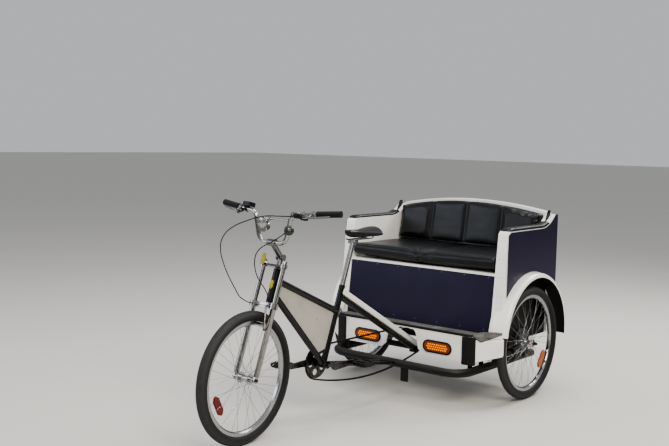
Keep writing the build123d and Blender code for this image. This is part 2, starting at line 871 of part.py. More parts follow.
# White upper stay: a box tube from the seat tube down and back to the chassis plate
with BuildPart() as upper_stay:
    with BuildSketch(Plane(origin=stay_foot, x_dir=(0, 1, 0), z_dir=stay_way)):
        RectangleRounded(upper_stay_width, upper_stay_height, upper_stay_corner)
    extrude(amount=stay_length)
    stay_bore = seat_tube_radius + face_gap
    rod(on_seat_tube(top_tube_at_seat), on_seat_tube(seat_tube_length + 60), stay_bore, Mode.SUBTRACT)
save(upper_stay, "upper_stay")

# Seat post and the saddle's rails
with BuildPart() as seat_post:
    post_head = on_seat_tube((saddle_top - saddle_thickness - seat_post_drop - bracket_z) / seat_sin)
    post_side = Vector(0, saddle_clamp_half, 0)
    rod(on_seat_tube(seat_post_foot), post_head, seat_post_radius)
    rod(post_head - post_side, post_head + post_side, saddle_clamp_radius)
    rail_z = post_head.Z + saddle_clamp_radius - saddle_rail_radius
    rail_top = saddle_top - saddle_thickness - seat_gap
    for side in (-1, 1):
        rail_y = side * saddle_rail_spread
        wire_tail = spot(saddle_x - saddle_rail_half, rail_y, rail_z)
        wire_nose = spot(saddle_x + saddle_rail_half, rail_y, rail_z)
        rod(wire_tail, wire_nose, saddle_rail_radius)
        for foot in (wire_tail, wire_nose):
            rod(foot, Vector(foot.X, foot.Y, rail_top), saddle_rail_radius)
save(seat_post, "seat_post")

# Saddle: broad at the back with a rounded nose
with BuildPart() as saddle:
    with BuildSketch(plan_plane(saddle_top - saddle_thickness)):
        side_x = saddle_x - saddle_length / 2 + saddle_side_radius
        side_y = saddle_width / 2 - saddle_side_radius
        with Locations((side_x, side_y), (side_x, -side_y)):
            Circle(saddle_side_radius)
        with Locations((saddle_x + saddle_length / 2 - saddle_nose_radius, 0)):
            Circle(saddle_nose_radius)
        make_hull()
    extrude(amount=saddle_thickness)
    fillet(saddle.faces().sort_by(Axis.Z)[-1].edges(), radius=saddle_edge)
save(saddle, "saddle")

# Blank sign that fills the frame's triangle
with BuildPart() as frame_sign:
    sign_corners = (
        on_seat_tube(frame_sign_foot),
        on_seat_tube(top_tube_at_seat),
        on_fork(0, 0, top_tube_at_head),
        on_fork(0, 0, down_tube_at_head),
        seat_foot + (on_fork(0, 0, down_tube_at_head) - seat_foot).normalized() * frame_sign_foot,
    )
    with BuildSketch(side_plane(frame_sign_thickness / 2)):
        with BuildLine():
            Polyline(*[(corner.X - axle_x, corner.Z) for corner in sign_corners], close=True)
        make_face()
    extrude(amount=frame_sign_thickness)
    main_bore = main_tube_radius + face_gap
    rod(on_seat_tube(0), on_seat_tube(seat_tube_length), seat_tube_radius + face_gap, Mode.SUBTRACT)
    rod(on_seat_tube(top_tube_at_seat), on_fork(0, 0, top_tube_at_head), main_bore, Mode.SUBTRACT)
    rod(seat_foot, on_fork(0, 0, down_tube_at_head), main_bore, Mode.SUBTRACT)
    head_skin = head_tube_radius + face_gap
    rod(on_fork(0, 0, head_tube_foot), on_fork(0, 0, head_top), head_skin, Mode.SUBTRACT)
save(frame_sign, "frame_sign")

# Crankset: spindle, chainring and both arms, lying level as parked
with BuildPart() as crankset:
    across(bracket_x, bracket_z, -crank_half, crank_half, spindle_radius)
    with BuildSketch(side_plane(-chain_line + chainring_thickness / 2)):
        with Locations((bracket_x, bracket_z)):
            Circle(chainring_radius)
            with PolarLocations(chainring_radius * 0.6, 5):
                Circle(chainring_radius * 0.2, mode=Mode.SUBTRACT)
    extrude(amount=chainring_thickness)
    across(bracket_x, bracket_z, -crank_half, -chain_line + 2, crank_boss_radius)
    for side in (-1, 1):
        reach = -side * crank_length
        arm_origin = spot(bracket_x, side * crank_half, bracket_z)
        with BuildSketch(Plane(origin=arm_origin, x_dir=(1, 0, 0), z_dir=(0, side, 0))):
            Circle(crank_root_radius)
            with Locations((reach, 0)):
                Circle(crank_eye_radius)
            make_hull()
        extrude(amount=crank_thickness)
        spindle_end = side * (crank_half + crank_thickness + pedal_gap + pedal_width)
        across(bracket_x + reach, bracket_z, side * (crank_half + 2), spindle_end, pedal_spindle_radius)
save(crankset, "crankset")

# Platform pedals, open between their rims and their barrels
for side, label in ((1, "pedal_left"), (-1, "pedal_right")):
    pedal_x = bracket_x - side * crank_length
    pedal_y = side * (crank_half + crank_thickness + pedal_gap + pedal_width / 2)
    window_length = pedal_length / 2 - pedal_thickness
    window_x = (pedal_length / 2 - pedal_rim + pedal_thickness / 2 + 3) / 2
    with BuildPart() as pedal:
        with BuildSketch(plan_plane(bracket_z)):
            with Locations((pedal_x, pedal_y)):
                RectangleRounded(pedal_length, pedal_width - 1, 12)
                with Locations((window_x, 0), (-window_x, 0)):
                    RectangleRounded(window_length, pedal_width - 2 * pedal_rim, 4, mode=Mode.SUBTRACT)
        extrude(amount=pedal_thickness / 2 - 3, both=True)
        pedal_inner = pedal_y - pedal_width / 2
        pedal_outer = pedal_y + pedal_width / 2
        across(pedal_x, bracket_z, pedal_inner, pedal_outer, pedal_thickness / 2)
        pedal_bore = pedal_spindle_radius + running_gap
        across(pedal_x, bracket_z, pedal_inner - 1, pedal_outer + 1, pedal_bore, Mode.SUBTRACT)
    save(pedal, label)

# Chain: one closed loop, taut on top and sagging below
chain_centre = chain_height / 2 + chain_clearance
ring_reach = chainring_radius + chain_centre
sprocket_reach = sprocket_radius + chain_centre
drive_length = hypot(bracket_x, bracket_z - tyre_radius)
drive_lean = atan2(bracket_z - tyre_radius, bracket_x)
top_turn = pi / 2 + drive_lean + asin((ring_reach - sprocket_reach) / drive_length)
# The slack run is one arc that both wheels touch from inside
to_ring = chain_sag_radius - ring_reach
to_sprocket = chain_sag_radius - sprocket_reach
sag_along = (drive_length**2 + to_sprocket**2 - to_ring**2) / (2 * drive_length)
sag_up = sqrt(to_sprocket**2 - sag_along**2)
sag_x = sag_along * cos(drive_lean) - sag_up * sin(drive_lean)
sag_z = tyre_radius + sag_along * sin(drive_lean) + sag_up * cos(drive_lean)
ring_turn = atan2(bracket_z - sag_z, bracket_x - sag_x)
sprocket_turn = atan2(tyre_radius - sag_z, -sag_x)


def chain_outline(extra):
    # The loop's outline, moved outward by extra
    ring_out = ring_reach + extra
    sprocket_out = sprocket_reach + extra
    Line(
        (sprocket_out * cos(top_turn), tyre_radius + sprocket_out * sin(top_turn)),
        (bracket_x + ring_out * cos(top_turn), bracket_z + ring_out * sin(top_turn)),
    )
    ring_wrap = ring_turn - top_turn
    sag_wrap = sprocket_turn - ring_turn
    sprocket_wrap = top_turn - 2 * pi - sprocket_turn
    CenterArc((bracket_x, bracket_z), ring_out, degrees(top_turn), degrees(ring_wrap))
    CenterArc((sag_x, sag_z), chain_sag_radius + extra, degrees(ring_turn), degrees(sag_wrap))
    CenterArc((0, tyre_radius), sprocket_out, degrees(sprocket_turn), degrees(sprocket_wrap))


with BuildPart() as drive_chain:
    with BuildSketch(side_plane(-chain_line + chain_width / 2)) as chain_side:
        with BuildLine():
            chain_outline(chain_height / 2)
        make_face()
        with BuildLine():
            chain_outline(-chain_height / 2)
        make_face(mode=Mode.SUBTRACT)
    extrude(amount=chain_width)
save(drive_chain, "drive_chain")

# Rear axle with its differential housing and the driven sprocket
with BuildPart() as rear_axle:
    axle_end = track / 2 + axle_overhang
    axle_shoulder = track / 2 + rear_hub_half + 2
    across(0, tyre_radius, -axle_end, axle_end, axle_stub_radius)
    across(0, tyre_radius, -axle_shoulder, axle_shoulder, axle_radius)
    across(0, tyre_radius, -differential_half, differential_half, differential_radius)
    across(0, tyre_radius, -chain_line - 6, -differential_half, sprocket_boss_radius)
    sprocket_half = chainring_thickness / 2
    across(0, tyre_radius, -chain_line - sprocket_half, -chain_line + sprocket_half, sprocket_radius)
save(rear_axle, "rear_axle")

# Chassis: one round tube bent round the cab's foot, with cross tubes, posts and bearings
with BuildPart() as chassis:
    with BuildLine() as rail_path:
        FilletPolyline(
            spot(-rail_rear, rail_spread, rail_height),
            spot(rail_front, rail_spread, rail_height),
            spot(rail_front, -rail_spread, rail_height),
            spot(-rail_rear, -rail_spread, rail_height),
            radius=rail_corner,
        )
    with BuildSketch(Plane(origin=spot(-rail_rear, rail_spread, rail_height), z_dir=(1, 0, 0))):
        Circle(rail_radius)
    sweep()
    rear_tube_x = 30 - rail_rear
    across(rear_tube_x, rail_height, -rail_spread, rail_spread, rail_radius - 2)
    post_spread = rail_spread - 20
    across(cross_tube_x, cross_tube_z, -post_spread, post_spread, cross_tube_radius)
    plate_middle = plate_face - stay_way * stay_plate_thickness
    with BuildSketch(Plane(origin=plate_middle, x_dir=(0, 1, 0), z_dir=stay_way)):
        plate_height = upper_stay_height + 2 * spine_radius + stay_plate_border
        Rectangle(upper_stay_width + 2 * stay_plate_border, plate_height)
    extrude(amount=stay_plate_thickness)
    post_table = (
        # x, height of the post's top
        (cross_tube_x, floor_height - floor_wall - face_gap),
        (floor_front - 38, floor_height - floor_wall - face_gap),
        (rear_tube_x, wall_foot + 40),
    )
    for side in (-1, 1):
        for post_x, post_top in post_table:
            post_y = side * post_spread
            rod(spot(post_x, post_y, rail_height), spot(post_x, post_y, post_top), post_radius)
        block_y = side * (rail_spread - 2)
        with BuildSketch(side_plane(block_y + bearing_block_width / 2)):
            with BuildLine():
                Polyline(
                    (-bearing_block_length / 2, rail_height),
                    (-bearing_block_length / 2, rail_height + bearing_shoulder),
                    (-bearing_boss - 2, tyre_radius + bearing_boss),
                    (bearing_boss + 2, tyre_radius + bearing_boss),
                    (bearing_block_length / 2, rail_height + bearing_shoulder),
                    (bearing_block_length / 2, rail_height),
                    close=True,
                )
            make_face()
        extrude(amount=bearing_block_width)
        bearing_bore = axle_radius + face_gap
        bore_reach = bearing_block_width / 2 + 1
        across(0, tyre_radius, block_y - bore_reach, block_y + bore_reach, bearing_bore, Mode.SUBTRACT)
    with BuildSketch(cross_plane(rail_front - drop_bracket_thickness / 2)):
        with Locations((drop_bracket_y, rail_height - drop_bracket_length / 2)):
            Rectangle(2 * drop_bracket_half, drop_bracket_length)
    extrude(amount=drop_bracket_thickness)
save(chassis, "chassis")

# Brake calipers, each round its disc below and ahead of the axle
with BuildPart() as brake_calipers:
    caliper_end = caliper_first_turn + caliper_turn
    inner_radius = disc_radius - caliper_depth
    outer_radius = disc_radius + caliper_reach
    pin_x, pin_z = polar(caliper_pin_out, caliper_pin_turn, 0, tyre_radius)
    for side in (-1, 1):
        with BuildSketch(side_plane(side * disc_spread + caliper_half)):
            with BuildLine():
                CenterArc((0, tyre_radius), outer_radius, caliper_first_turn, caliper_turn)
                CenterArc((0, tyre_radius), inner_radius, caliper_first_turn, caliper_turn)
                for turn in (caliper_first_turn, caliper_end):
                    Line(polar(inner_radius, turn, 0, tyre_radius), polar(outer_radius, turn, 0, tyre_radius))
            make_face()
        extrude(amount=2 * caliper_half)
        slot_half = disc_thickness / 2 + disc_gap
        slot_start = side * disc_spread - slot_half
        slot_end = side * disc_spread + slot_half
        across(0, tyre_radius, slot_start, slot_end, disc_radius + 3, Mode.SUBTRACT)
        block_outer = rail_spread - 2 + bearing_block_width / 2 + face_gap
        pin_end = disc_spread - caliper_half + 1
        across(pin_x, pin_z, side * block_outer, side * pin_end, caliper_pin_radius)
save(brake_calipers, "brake_calipers")

# Cab floor: a moulded step, hollow from below, with a wing ahead of each rear wheel
front_edge = floor_front + floor_corner_lead
wing_corner = (wing_rear + wing_tip, wing_outer)
with BuildPart() as cab_floor:
    with BuildSketch(plan_plane(floor_foot)):
        with BuildLine():
            Polyline(
                (floor_rear, 0),
                (floor_rear, wall_inner - seat_gap),
                (pillar_foot_x + seat_gap, wall_inner - seat_gap),
                (pillar_foot_x + seat_gap, wheel_house_wall),
                (wing_rear, wheel_house_wall),
                (wing_rear, wing_outer),
                wing_corner,
                (wing_front, wing_inner),
                (front_edge, corner_inner),
                (floor_front, 0),
                close=True,
            )
        make_face()
    extrude(amount=floor_height - floor_foot)
    wing_top_edge = cab_floor.edges().group_by(Axis.Z)[-1].sort_by(Axis.Y)[-3]
    chamfer(wing_top_edge, length=wing_edge)
    mirror(about=Plane.XZ)
    offset(amount=-floor_wall, openings=cab_floor.faces().sort_by(Axis.Z)[0])
    with BuildSketch(cross_plane(floor_front - 40)) as opening:
        with BuildLine():
            Polyline(
                (-stay_opening_foot_half, floor_foot - 5),
                (-stay_opening_half, floor_foot + stay_opening_foot_corner),
                (-stay_opening_top_half, floor_height - lip_height),
                (stay_opening_top_half, floor_height - lip_height),
                (stay_opening_half, floor_foot + stay_opening_foot_corner),
                (stay_opening_foot_half, floor_foot - 5),
                close=True,
            )
        make_face()
        opening_rows = opening.vertices().group_by(Axis.Y)
        fillet(opening_rows[-1], radius=stay_opening_corner)
        fillet(opening_rows[1], radius=stay_opening_foot_corner)
    extrude(amount=80, mode=Mode.SUBTRACT)
    # The rear wall is open in the middle, where the chain and the cross tube pass
    opening_height = floor_height - floor_wall - floor_foot
    with BuildSketch(cross_plane(floor_rear - 1)):
        with Locations((0, floor_foot + opening_height / 2)):
            Rectangle(2 * (rail_spread - rear_opening_border), opening_height)
    extrude(amount=floor_wall + 2, mode=Mode.SUBTRACT)
    # Each wing's foot rises towards the wheel
    for side in (-1, 1):
        with BuildSketch(side_plane(max(side * wing_inner, side * (wing_outer + 1)))):
            with BuildLine():
                Polyline(
                    (wing_front, floor_foot),
                    (wing_front, floor_foot - 1),
                    (wing_rear - 1, floor_foot - 1),
                    (wing_rear - 1, floor_foot + wing_foot_rise),
                    close=True,
                )
            make_face()
        extrude(amount=wing_outer + 1 - wing_inner, mode=Mode.SUBTRACT)
save(cab_floor, "cab_floor")

# Grip mat on the step, with a leaf over each wing
with BuildPart() as floor_mat:
    with BuildSketch(plan_plane(floor_height)):
        mat_side = wall_inner - mat_border
        mat_tip = wing_front - wing_edge
        with BuildLine():
            Polyline(
                (sign_foot_x + 4, 0),
                (sign_foot_x + 4, mat_side),
                (wing_rear + mat_border, mat_side),
                (wing_rear + mat_border, wing_outer - 55),
                (wing_rear + 2 * mat_border, wing_outer - 50),
                (mat_tip, wing_inner + mat_border),
                (floor_front - 1, corner_inner),
                (floor_front - 6, 0),
                close=True,
            )
        make_face()
    extrude(amount=mat_thickness)
    mirror(about=Plane.XZ)
save(floor_mat, "floor_mat")

# Black corner bumpers, from below the step's foot to its top
with BuildPart() as corner_bumpers:
    bumper_foot = floor_foot - bumper_drop
    wrap_x = wing_front - bumper_wrap
    wing_slope = (wing_corner[1] - wing_inner) / (wing_front - wing_corner[0])
    with BuildSketch(plan_plane(bumper_foot)):
        with BuildLine():
            Polyline(
                (front_edge + face_gap, corner_inner),
                (front_edge + bumper_thickness - bumper_round, corner_inner),
                (front_edge + bumper_thickness, corner_inner + bumper_round),
                (wing_front + bumper_thickness, wing_inner - bumper_round),
                (wing_front + bumper_thickness - bumper_round, wing_inner + bumper_round),
                (wing_front + face_gap, wing_inner + bumper_wrap * wing_slope),
                (wrap_x + 2 * face_gap, wing_inner + bumper_wrap * wing_slope),
                (wing_front + face_gap, wing_inner),
                close=True,
            )
        make_face()
    extrude(amount=floor_height - 2 - bumper_foot)
    mirror(about=Plane.XZ)
save(corner_bumpers, "corner_bumpers")

# Oval amber lamps on the front faces
face_lean = atan2(floor_corner_lead, corner_inner)
with BuildPart() as front_lamps:
    for side in (-1, 1):
        lamp_x = floor_front + floor_corner_lead * front_lamp_y / corner_inner + face_gap
        lamp_plane = Plane(
            origin=spot(lamp_x, side * front_lamp_y, front_lamp_z),
            x_dir=(side * sin(face_lean), cos(face_lean), 0),
            z_dir=(cos(face_lean), -side * sin(face_lean), 0),
        )
        with BuildSketch(lamp_plane):
            SlotOverall(front_lamp_length, front_lamp_height)
        extrude(amount=front_lamp_rim)
        with BuildSketch(lamp_plane.offset(front_lamp_rim)):
            SlotOverall(front_lamp_length - 2 * front_lamp_border, front_lamp_height - 2 * front_lamp_border)
        extrude(amount=front_lamp_glass)
save(front_lamps, "front_lamps")

# Cab sides: pillar, armrest and wheel house in one moulding as thick as the wall
arm_rear_x = arm_rise_length - cab_rear
arm_bend_x = 0.44 * arm_rise_length - cab_rear
for side, label in ((1, "cab_side_left"), (-1, "cab_side_right")):
    with BuildPart() as cab_side:
        with BuildSketch(side_plane(max(side * wall_outer, side * wall_inner))) as side_outline:
            with BuildLine():
                Polyline(
                    (-cab_rear, arm_rear_height),
                    (-cab_rear, wall_foot),
                    (floor_rear - 22, wall_foot),
                    (floor_rear, floor_foot),
                    (pillar_foot_x, floor_foot),
                    (pillar_foot_x, floor_height),
                    (pillar_top_x, arm_height - pillar_corner),
                    (pillar_top_x - pillar_corner, arm_height),
                    (arm_rear_x, arm_height),
                )
                ThreePointArc(
                    (arm_rear_x, arm_height),
                    (arm_bend_x, arm_bend_height),
                    (-cab_rear, arm_rear_height),
                )
            make_face()
            corners = side_outline.vertices().sort_by_distance((pillar_top_x, arm_height))[:2]
            fillet(corners, radius=pillar_corner)
        extrude(amount=wall_thickness)
        # The pillar's foot flares forward to meet the fender
        flare_start = degrees(asin((floor_height - fender_z) / fender_radius))
        flare_end = flare_start + pillar_flare_turn
        with BuildSketch(side_plane(max(side * wheel_house_wall, side * (wheel_house_wall - pillar_flare)))):
            with BuildLine():
                CenterArc((fender_x, fender_z), fender_radius, flare_start, pillar_flare_turn)
                Polyline(
                    polar(fender_radius, flare_end, fender_x, fender_z),
                    (pillar_top_x, floor_height),
                    polar(fender_radius, flare_start, fender_x, fender_z),
                )
            make_face()
        extrude(amount=pillar_flare)
        with BuildSketch(side_plane(max(side * (wall_outer + 1), side * wheel_house_wall))):
            with Locations((fender_x, fender_z)):
                Circle(fender_radius + seat_gap)
        extrude(amount=wall_outer + 1 - wheel_house_wall, mode=Mode.SUBTRACT)
        notch_start = side * (wall_inner - 1)
        notch_end = side * (wheel_house_wall + 1)
        across(0, tyre_radius, notch_start, notch_end, axle_radius + 8, Mode.SUBTRACT)
        # The arm pad lies in a shallow pocket between two thin lips
        with BuildSketch(plan_plane(arm_height - arm_pocket_depth)):
            with Locations((arm_pad_middle, side * (wall_outer + wall_inner) / 2)):
                RectangleRounded(arm_pad_length + 1, arm_pad_width + 1, arm_pad_thickness)
        extrude(amount=arm_pocket_depth + 1, mode=Mode.SUBTRACT)
    save(cab_side, label)

# Fenders: a rounded shell over each rear wheel
for side, label in ((1, "fender_left"), (-1, "fender_right")):
    fender_centre = spot(fender_x, 0, fender_z)
    fender_foot = floor_height + face_gap - fender_z
    start = asin(fender_foot / (fender_radius - fender_wall))
    with BuildPart() as fender:
        with BuildSketch(Plane(origin=fender_centre, x_dir=(0, 1, 0), z_dir=(sin(start), 0, -cos(start)))):
            shoulder_y = fender_outer - fender_shoulder
            bend = 1 - sqrt(0.5)
            root_y = side * (wheel_house_wall + face_gap)
            with BuildLine():
                Line((root_y, fender_radius), (side * shoulder_y, fender_radius))
                ThreePointArc(
                    (side * shoulder_y, fender_radius),
                    (side * (fender_outer - fender_shoulder * bend), fender_radius - fender_shoulder * bend),
                    (side * fender_outer, fender_radius - fender_shoulder),
                )
                Polyline(
                    (side * fender_outer, fender_radius - fender_shoulder),
                    (side * fender_outer, fender_lip_radius),
                    (side * (fender_outer - fender_wall), fender_lip_radius),
                    (side * (fender_outer - fender_wall), fender_radius - fender_shoulder),
                )
                inner_bend = fender_shoulder - fender_wall
                ThreePointArc(
                    (side * (fender_outer - fender_wall), fender_radius - fender_shoulder),
                    (
                        side * (fender_outer - fender_wall - inner_bend * bend),
                        fender_radius - fender_wall - inner_bend * bend,
                    ),
                    (side * shoulder_y, fender_radius - fender_wall),
                )
                Polyline(
                    (side * shoulder_y, fender_radius - fender_wall),
                    (root_y, fender_radius - fender_wall),
                    (root_y, fender_radius),
                )
            make_face()
        revolve(axis=Axis(fender_centre, (0, -1, 0)), revolution_arc=fender_rear_turn - degrees(start))
    save(fender, label)

# Blank sign panels on the cab's sides
for side, label in ((1, "side_sign_left"), (-1, "side_sign_right")):
    with BuildPart() as side_sign:
        sign_y = side * (wall_outer + face_gap)
        with BuildSketch(side_plane(max(sign_y, sign_y + side * side_sign_thickness))):
            with BuildLine():
                Polyline(
                    (side_sign_border - cab_rear, arm_rear_height - 2 * side_sign_border),
                    (side_sign_border - cab_rear, wall_foot),
                    (pillar_foot_x - side_sign_front, wall_foot),
                    (pillar_foot_x - side_sign_front, floor_height),
                    (pillar_top_x - side_sign_front, arm_height - 2 * side_sign_border),
                    (pillar_top_x - 2 * side_sign_front, arm_height - side_sign_border),
                    (arm_rear_x, arm_height - side_sign_border),
                )
                ThreePointArc(
                    (arm_rear_x, arm_height - side_sign_border),
                    (arm_bend_x + 4, arm_bend_height - side_sign_border * 1.5),
                    (side_sign_border - cab_rear, arm_rear_height - 2 * side_sign_border),
                )
            make_face()
            with Locations((fender_x, fender_z)):
                Circle(fender_radius + side_sign_gap, mode=Mode.SUBTRACT)
        extrude(amount=side_sign_thickness)
    save(side_sign, label)

# Cab back, with its lower corners cut round the fenders
with BuildPart() as cab_back:
    with BuildSketch(cross_plane(-cab_rear - face_gap)):
        with BuildLine():
            Polyline(
                (-wall_outer + 60, arm_rear_height + 12),
                (-wall_outer, arm_rear_height - 30),
                (-wall_outer, wall_foot),
                (wall_outer, wall_foot),
                (wall_outer, arm_rear_height - 30),
                (wall_outer - 60, arm_rear_height + 12),
            )
            ThreePointArc(
                (wall_outer - 60, arm_rear_height + 12),
                (0, back_middle_height),
                (-wall_outer + 60, arm_rear_height + 12),
            )
        make_face()
    extrude(amount=-back_thickness)
    for side in (-1, 1):
        with BuildSketch(side_plane(max(side * (wall_outer + 1), side * wheel_house_wall))):
            with Locations((fender_x, fender_z)):
                Circle(fender_radius + seat_gap)
        extrude(amount=wall_outer + 1 - wheel_house_wall, mode=Mode.SUBTRACT)
save(cab_back, "cab_back")

# Tail lamps on the cab's back
back_outer = -cab_rear - back_thickness - 2 * face_gap
with BuildPart() as tail_lamps:
    with BuildSketch(Plane(origin=spot(back_outer, 0, tail_lamp_z), x_dir=(0, -1, 0), z_dir=(-1, 0, 0))):
        with Locations((-tail_lamp_y, 0), (tail_lamp_y, 0)):
            SlotOverall(tail_lamp_length, tail_lamp_height)
    extrude(amount=tail_lamp_thickness)
save(tail_lamps, "tail_lamps")

# Seat box: a leaning front panel and the board that carries the cushion
inner_half = wall_inner - seat_gap
board_foot = seat_board_top - seat_board_thickness
with BuildPart() as seat_front:
    with BuildSketch(side_plane(inner_half)):
        with BuildLine():
            Polyline(
                (sign_foot_x, floor_height + face_gap),
                (sign_top_x, board_foot - face_gap),
                (sign_top_x - sign_thickness, board_foot - face_gap),
                (sign_foot_x - sign_thickness, floor_height + face_gap),
                close=True,
            )
        make_face()
    extrude(amount=2 * inner_half)
save(seat_front, "seat_front")

with BuildPart() as seat_board:
    with BuildSketch(side_plane(inner_half)):
        with BuildLine():
            Polyline(
                (sign_top_x + 3, board_foot),
                (sign_top_x + 3, seat_board_top),
                (seat_gap - cab_rear, seat_board_top),
                (seat_gap - cab_rear, board_foot),
                close=True,
            )
        make_face()
    extrude(amount=2 * inner_half)
save(seat_board, "seat_board")

# Seat and back cushions
cushion_top = seat_board_top + seat_gap + cushion_height
with BuildPart() as seat_cushion:
    with BuildSketch(side_plane(inner_half - 2)) as cushion_side:
        with BuildLine():
            Polyline(
                (seat_gap - cab_rear, seat_board_top + seat_gap),
                (cushion_front, seat_board_top + seat_gap),
                (cushion_front, cushion_top),
                (seat_gap - cab_rear, cushion_top),
                close=True,
            )
        make_face()
        fillet(cushion_side.vertices().group_by(Axis.X)[-1], radius=cushion_edge)
    extrude(amount=2 * inner_half - 4)
save(seat_cushion, "seat_cushion")

with BuildPart() as back_cushion:
    with BuildSketch(side_plane(inner_half - 2)) as back_side:
        with BuildLine():
            Polyline(
                (seat_gap - cab_rear, cushion_top + seat_gap),
                (-back_cushion_foot, cushion_top + seat_gap),
                (-back_cushion_top, back_middle_height - 8),
                (seat_gap - cab_rear, back_middle_height - 8),
                close=True,
            )
        make_face()
    extrude(amount=2 * inner_half - 4)
    with BuildSketch(cross_plane(-cab_rear)):
        with BuildLine():
            ThreePointArc(
                (-inner_half, arm_rear_height),
                (0, back_middle_height - back_cushion_drop),
                (inner_half, arm_rear_height),
            )
            Polyline(
                (inner_half, arm_rear_height),
                (inner_half, back_middle_height),
                (-inner_half, back_middle_height),
                (-inner_half, arm_rear_height),
            )
        make_face()
    extrude(amount=cab_rear, mode=Mode.SUBTRACT)
save(back_cushion, "back_cushion")

# Canopy brackets: an upright plate with a pivot hole at each arm's rear end
canopy_front_x = -cab_rear + canopy_length
canopy_share = canopy_length / (arm_bend_x + cab_rear)
canopy_front_height = arm_rear_height + (arm_bend_height - arm_rear_height) * canopy_share
canopy_floor = min(arm_height, arm_rear_height) - 2 * canopy_foot
with BuildPart() as canopy_brackets:
    for side in (-1, 1):
        bracket_y = side * (wall_outer + wall_inner) / 2
        with BuildSketch(side_plane(bracket_y + canopy_plate / 2)):
            with BuildLine():
                Polyline(
                    (-cab_rear + canopy_inset, arm_rear_height - canopy_foot),
                    (-cab_rear + canopy_inset, arm_rear_height + canopy_rise),
                    (-cab_rear + canopy_step, arm_rear_height + canopy_rise),
                    (canopy_front_x, canopy_front_height),
                    (canopy_front_x, canopy_front_height - canopy_foot),
                    close=True,
                )
            make_face()
            with Locations((-cab_rear + canopy_hole_x, arm_rear_height + canopy_hole_rise)):
                Circle(canopy_hole_radius, mode=Mode.SUBTRACT)
            # The plate's foot follows the arm's curved top
            with BuildLine():
                ThreePointArc(
                    (-cab_rear, arm_rear_height + face_gap),
                    (arm_bend_x, arm_bend_height + face_gap),
                    (arm_rear_x, arm_height + face_gap),
                )
                Polyline(
                    (arm_rear_x, arm_height + face_gap),
                    (arm_rear_x, canopy_floor),
                    (-cab_rear, canopy_floor),
                    (-cab_rear, arm_rear_height + face_gap),
                )
            make_face(mode=Mode.SUBTRACT)
        extrude(amount=canopy_plate)
save(canopy_brackets, "canopy_brackets")

# Canopy knobs on the cab's back
with BuildPart() as canopy_knobs:
    for side in (-1, 1):
        knob_foot = spot(back_outer, side * (wall_outer - knob_inset), knob_z)
        knob_neck = knob_foot - Vector(knob_neck_length, 0, 0)
        rod(knob_foot, knob_neck, knob_neck_radius)
        rod(knob_neck, knob_foot - Vector(knob_length, 0, 0), knob_radius)
save(canopy_knobs, "canopy_knobs")

# Arm pads
for side, label in ((1, "arm_pad_left"), (-1, "arm_pad_right")):
    with BuildPart() as arm_pad:
        with BuildSketch(plan_plane(arm_height - arm_pocket_depth + seat_gap)):
            with Locations((arm_pad_middle, side * (wall_outer + wall_inner) / 2)):
                RectangleRounded(arm_pad_length, arm_pad_width, arm_pad_thickness)
        extrude(amount=arm_pad_thickness)
    save(arm_pad, label)
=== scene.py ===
import json
import math

import bmesh
import bpy
from mathutils import Matrix, Vector
from mathutils.bvhtree import BVHTree


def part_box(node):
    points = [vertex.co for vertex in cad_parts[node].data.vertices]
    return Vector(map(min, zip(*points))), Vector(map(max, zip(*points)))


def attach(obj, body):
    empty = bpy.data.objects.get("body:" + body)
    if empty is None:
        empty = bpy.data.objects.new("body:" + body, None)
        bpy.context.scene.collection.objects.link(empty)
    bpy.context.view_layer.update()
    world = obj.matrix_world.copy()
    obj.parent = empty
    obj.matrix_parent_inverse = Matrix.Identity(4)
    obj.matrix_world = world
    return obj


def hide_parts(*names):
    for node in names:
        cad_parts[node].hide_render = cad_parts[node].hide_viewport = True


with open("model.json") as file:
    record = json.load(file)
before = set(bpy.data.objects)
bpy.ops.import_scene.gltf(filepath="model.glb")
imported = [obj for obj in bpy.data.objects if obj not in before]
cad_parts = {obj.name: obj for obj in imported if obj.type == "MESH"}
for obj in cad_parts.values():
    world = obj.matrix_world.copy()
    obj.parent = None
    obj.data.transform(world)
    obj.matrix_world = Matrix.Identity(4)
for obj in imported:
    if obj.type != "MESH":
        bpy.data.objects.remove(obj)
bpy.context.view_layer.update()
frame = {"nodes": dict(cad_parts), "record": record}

nodes = frame["nodes"]
record = frame["record"]
scene = bpy.context.scene
joints = {joint["name"]: joint for joint in record["behaviour"]["joints"]}
bodyOf = {node: body for body, group in record["behaviour"]["bodies"].items() for node in group}
rearAxle = Vector(joints["rear_left_spin"]["pos_m"])
steerFoot = Vector(joints["steering"]["pos_m"])
steerAxis = Vector(joints["steering"]["axis"]).normalized()
parkedTurn = Matrix.Rotation(math.radians(4), 4, steerAxis)
xAxis, yAxis, zAxis = Vector((1, 0, 0)), Vector((0, 1, 0)), Vector((0, 0, 1))
origin = Vector((0, 0, 0))
sideNames = {1: "Left", -1: "Right"}

# Camera, floor and lights, in metres and degrees

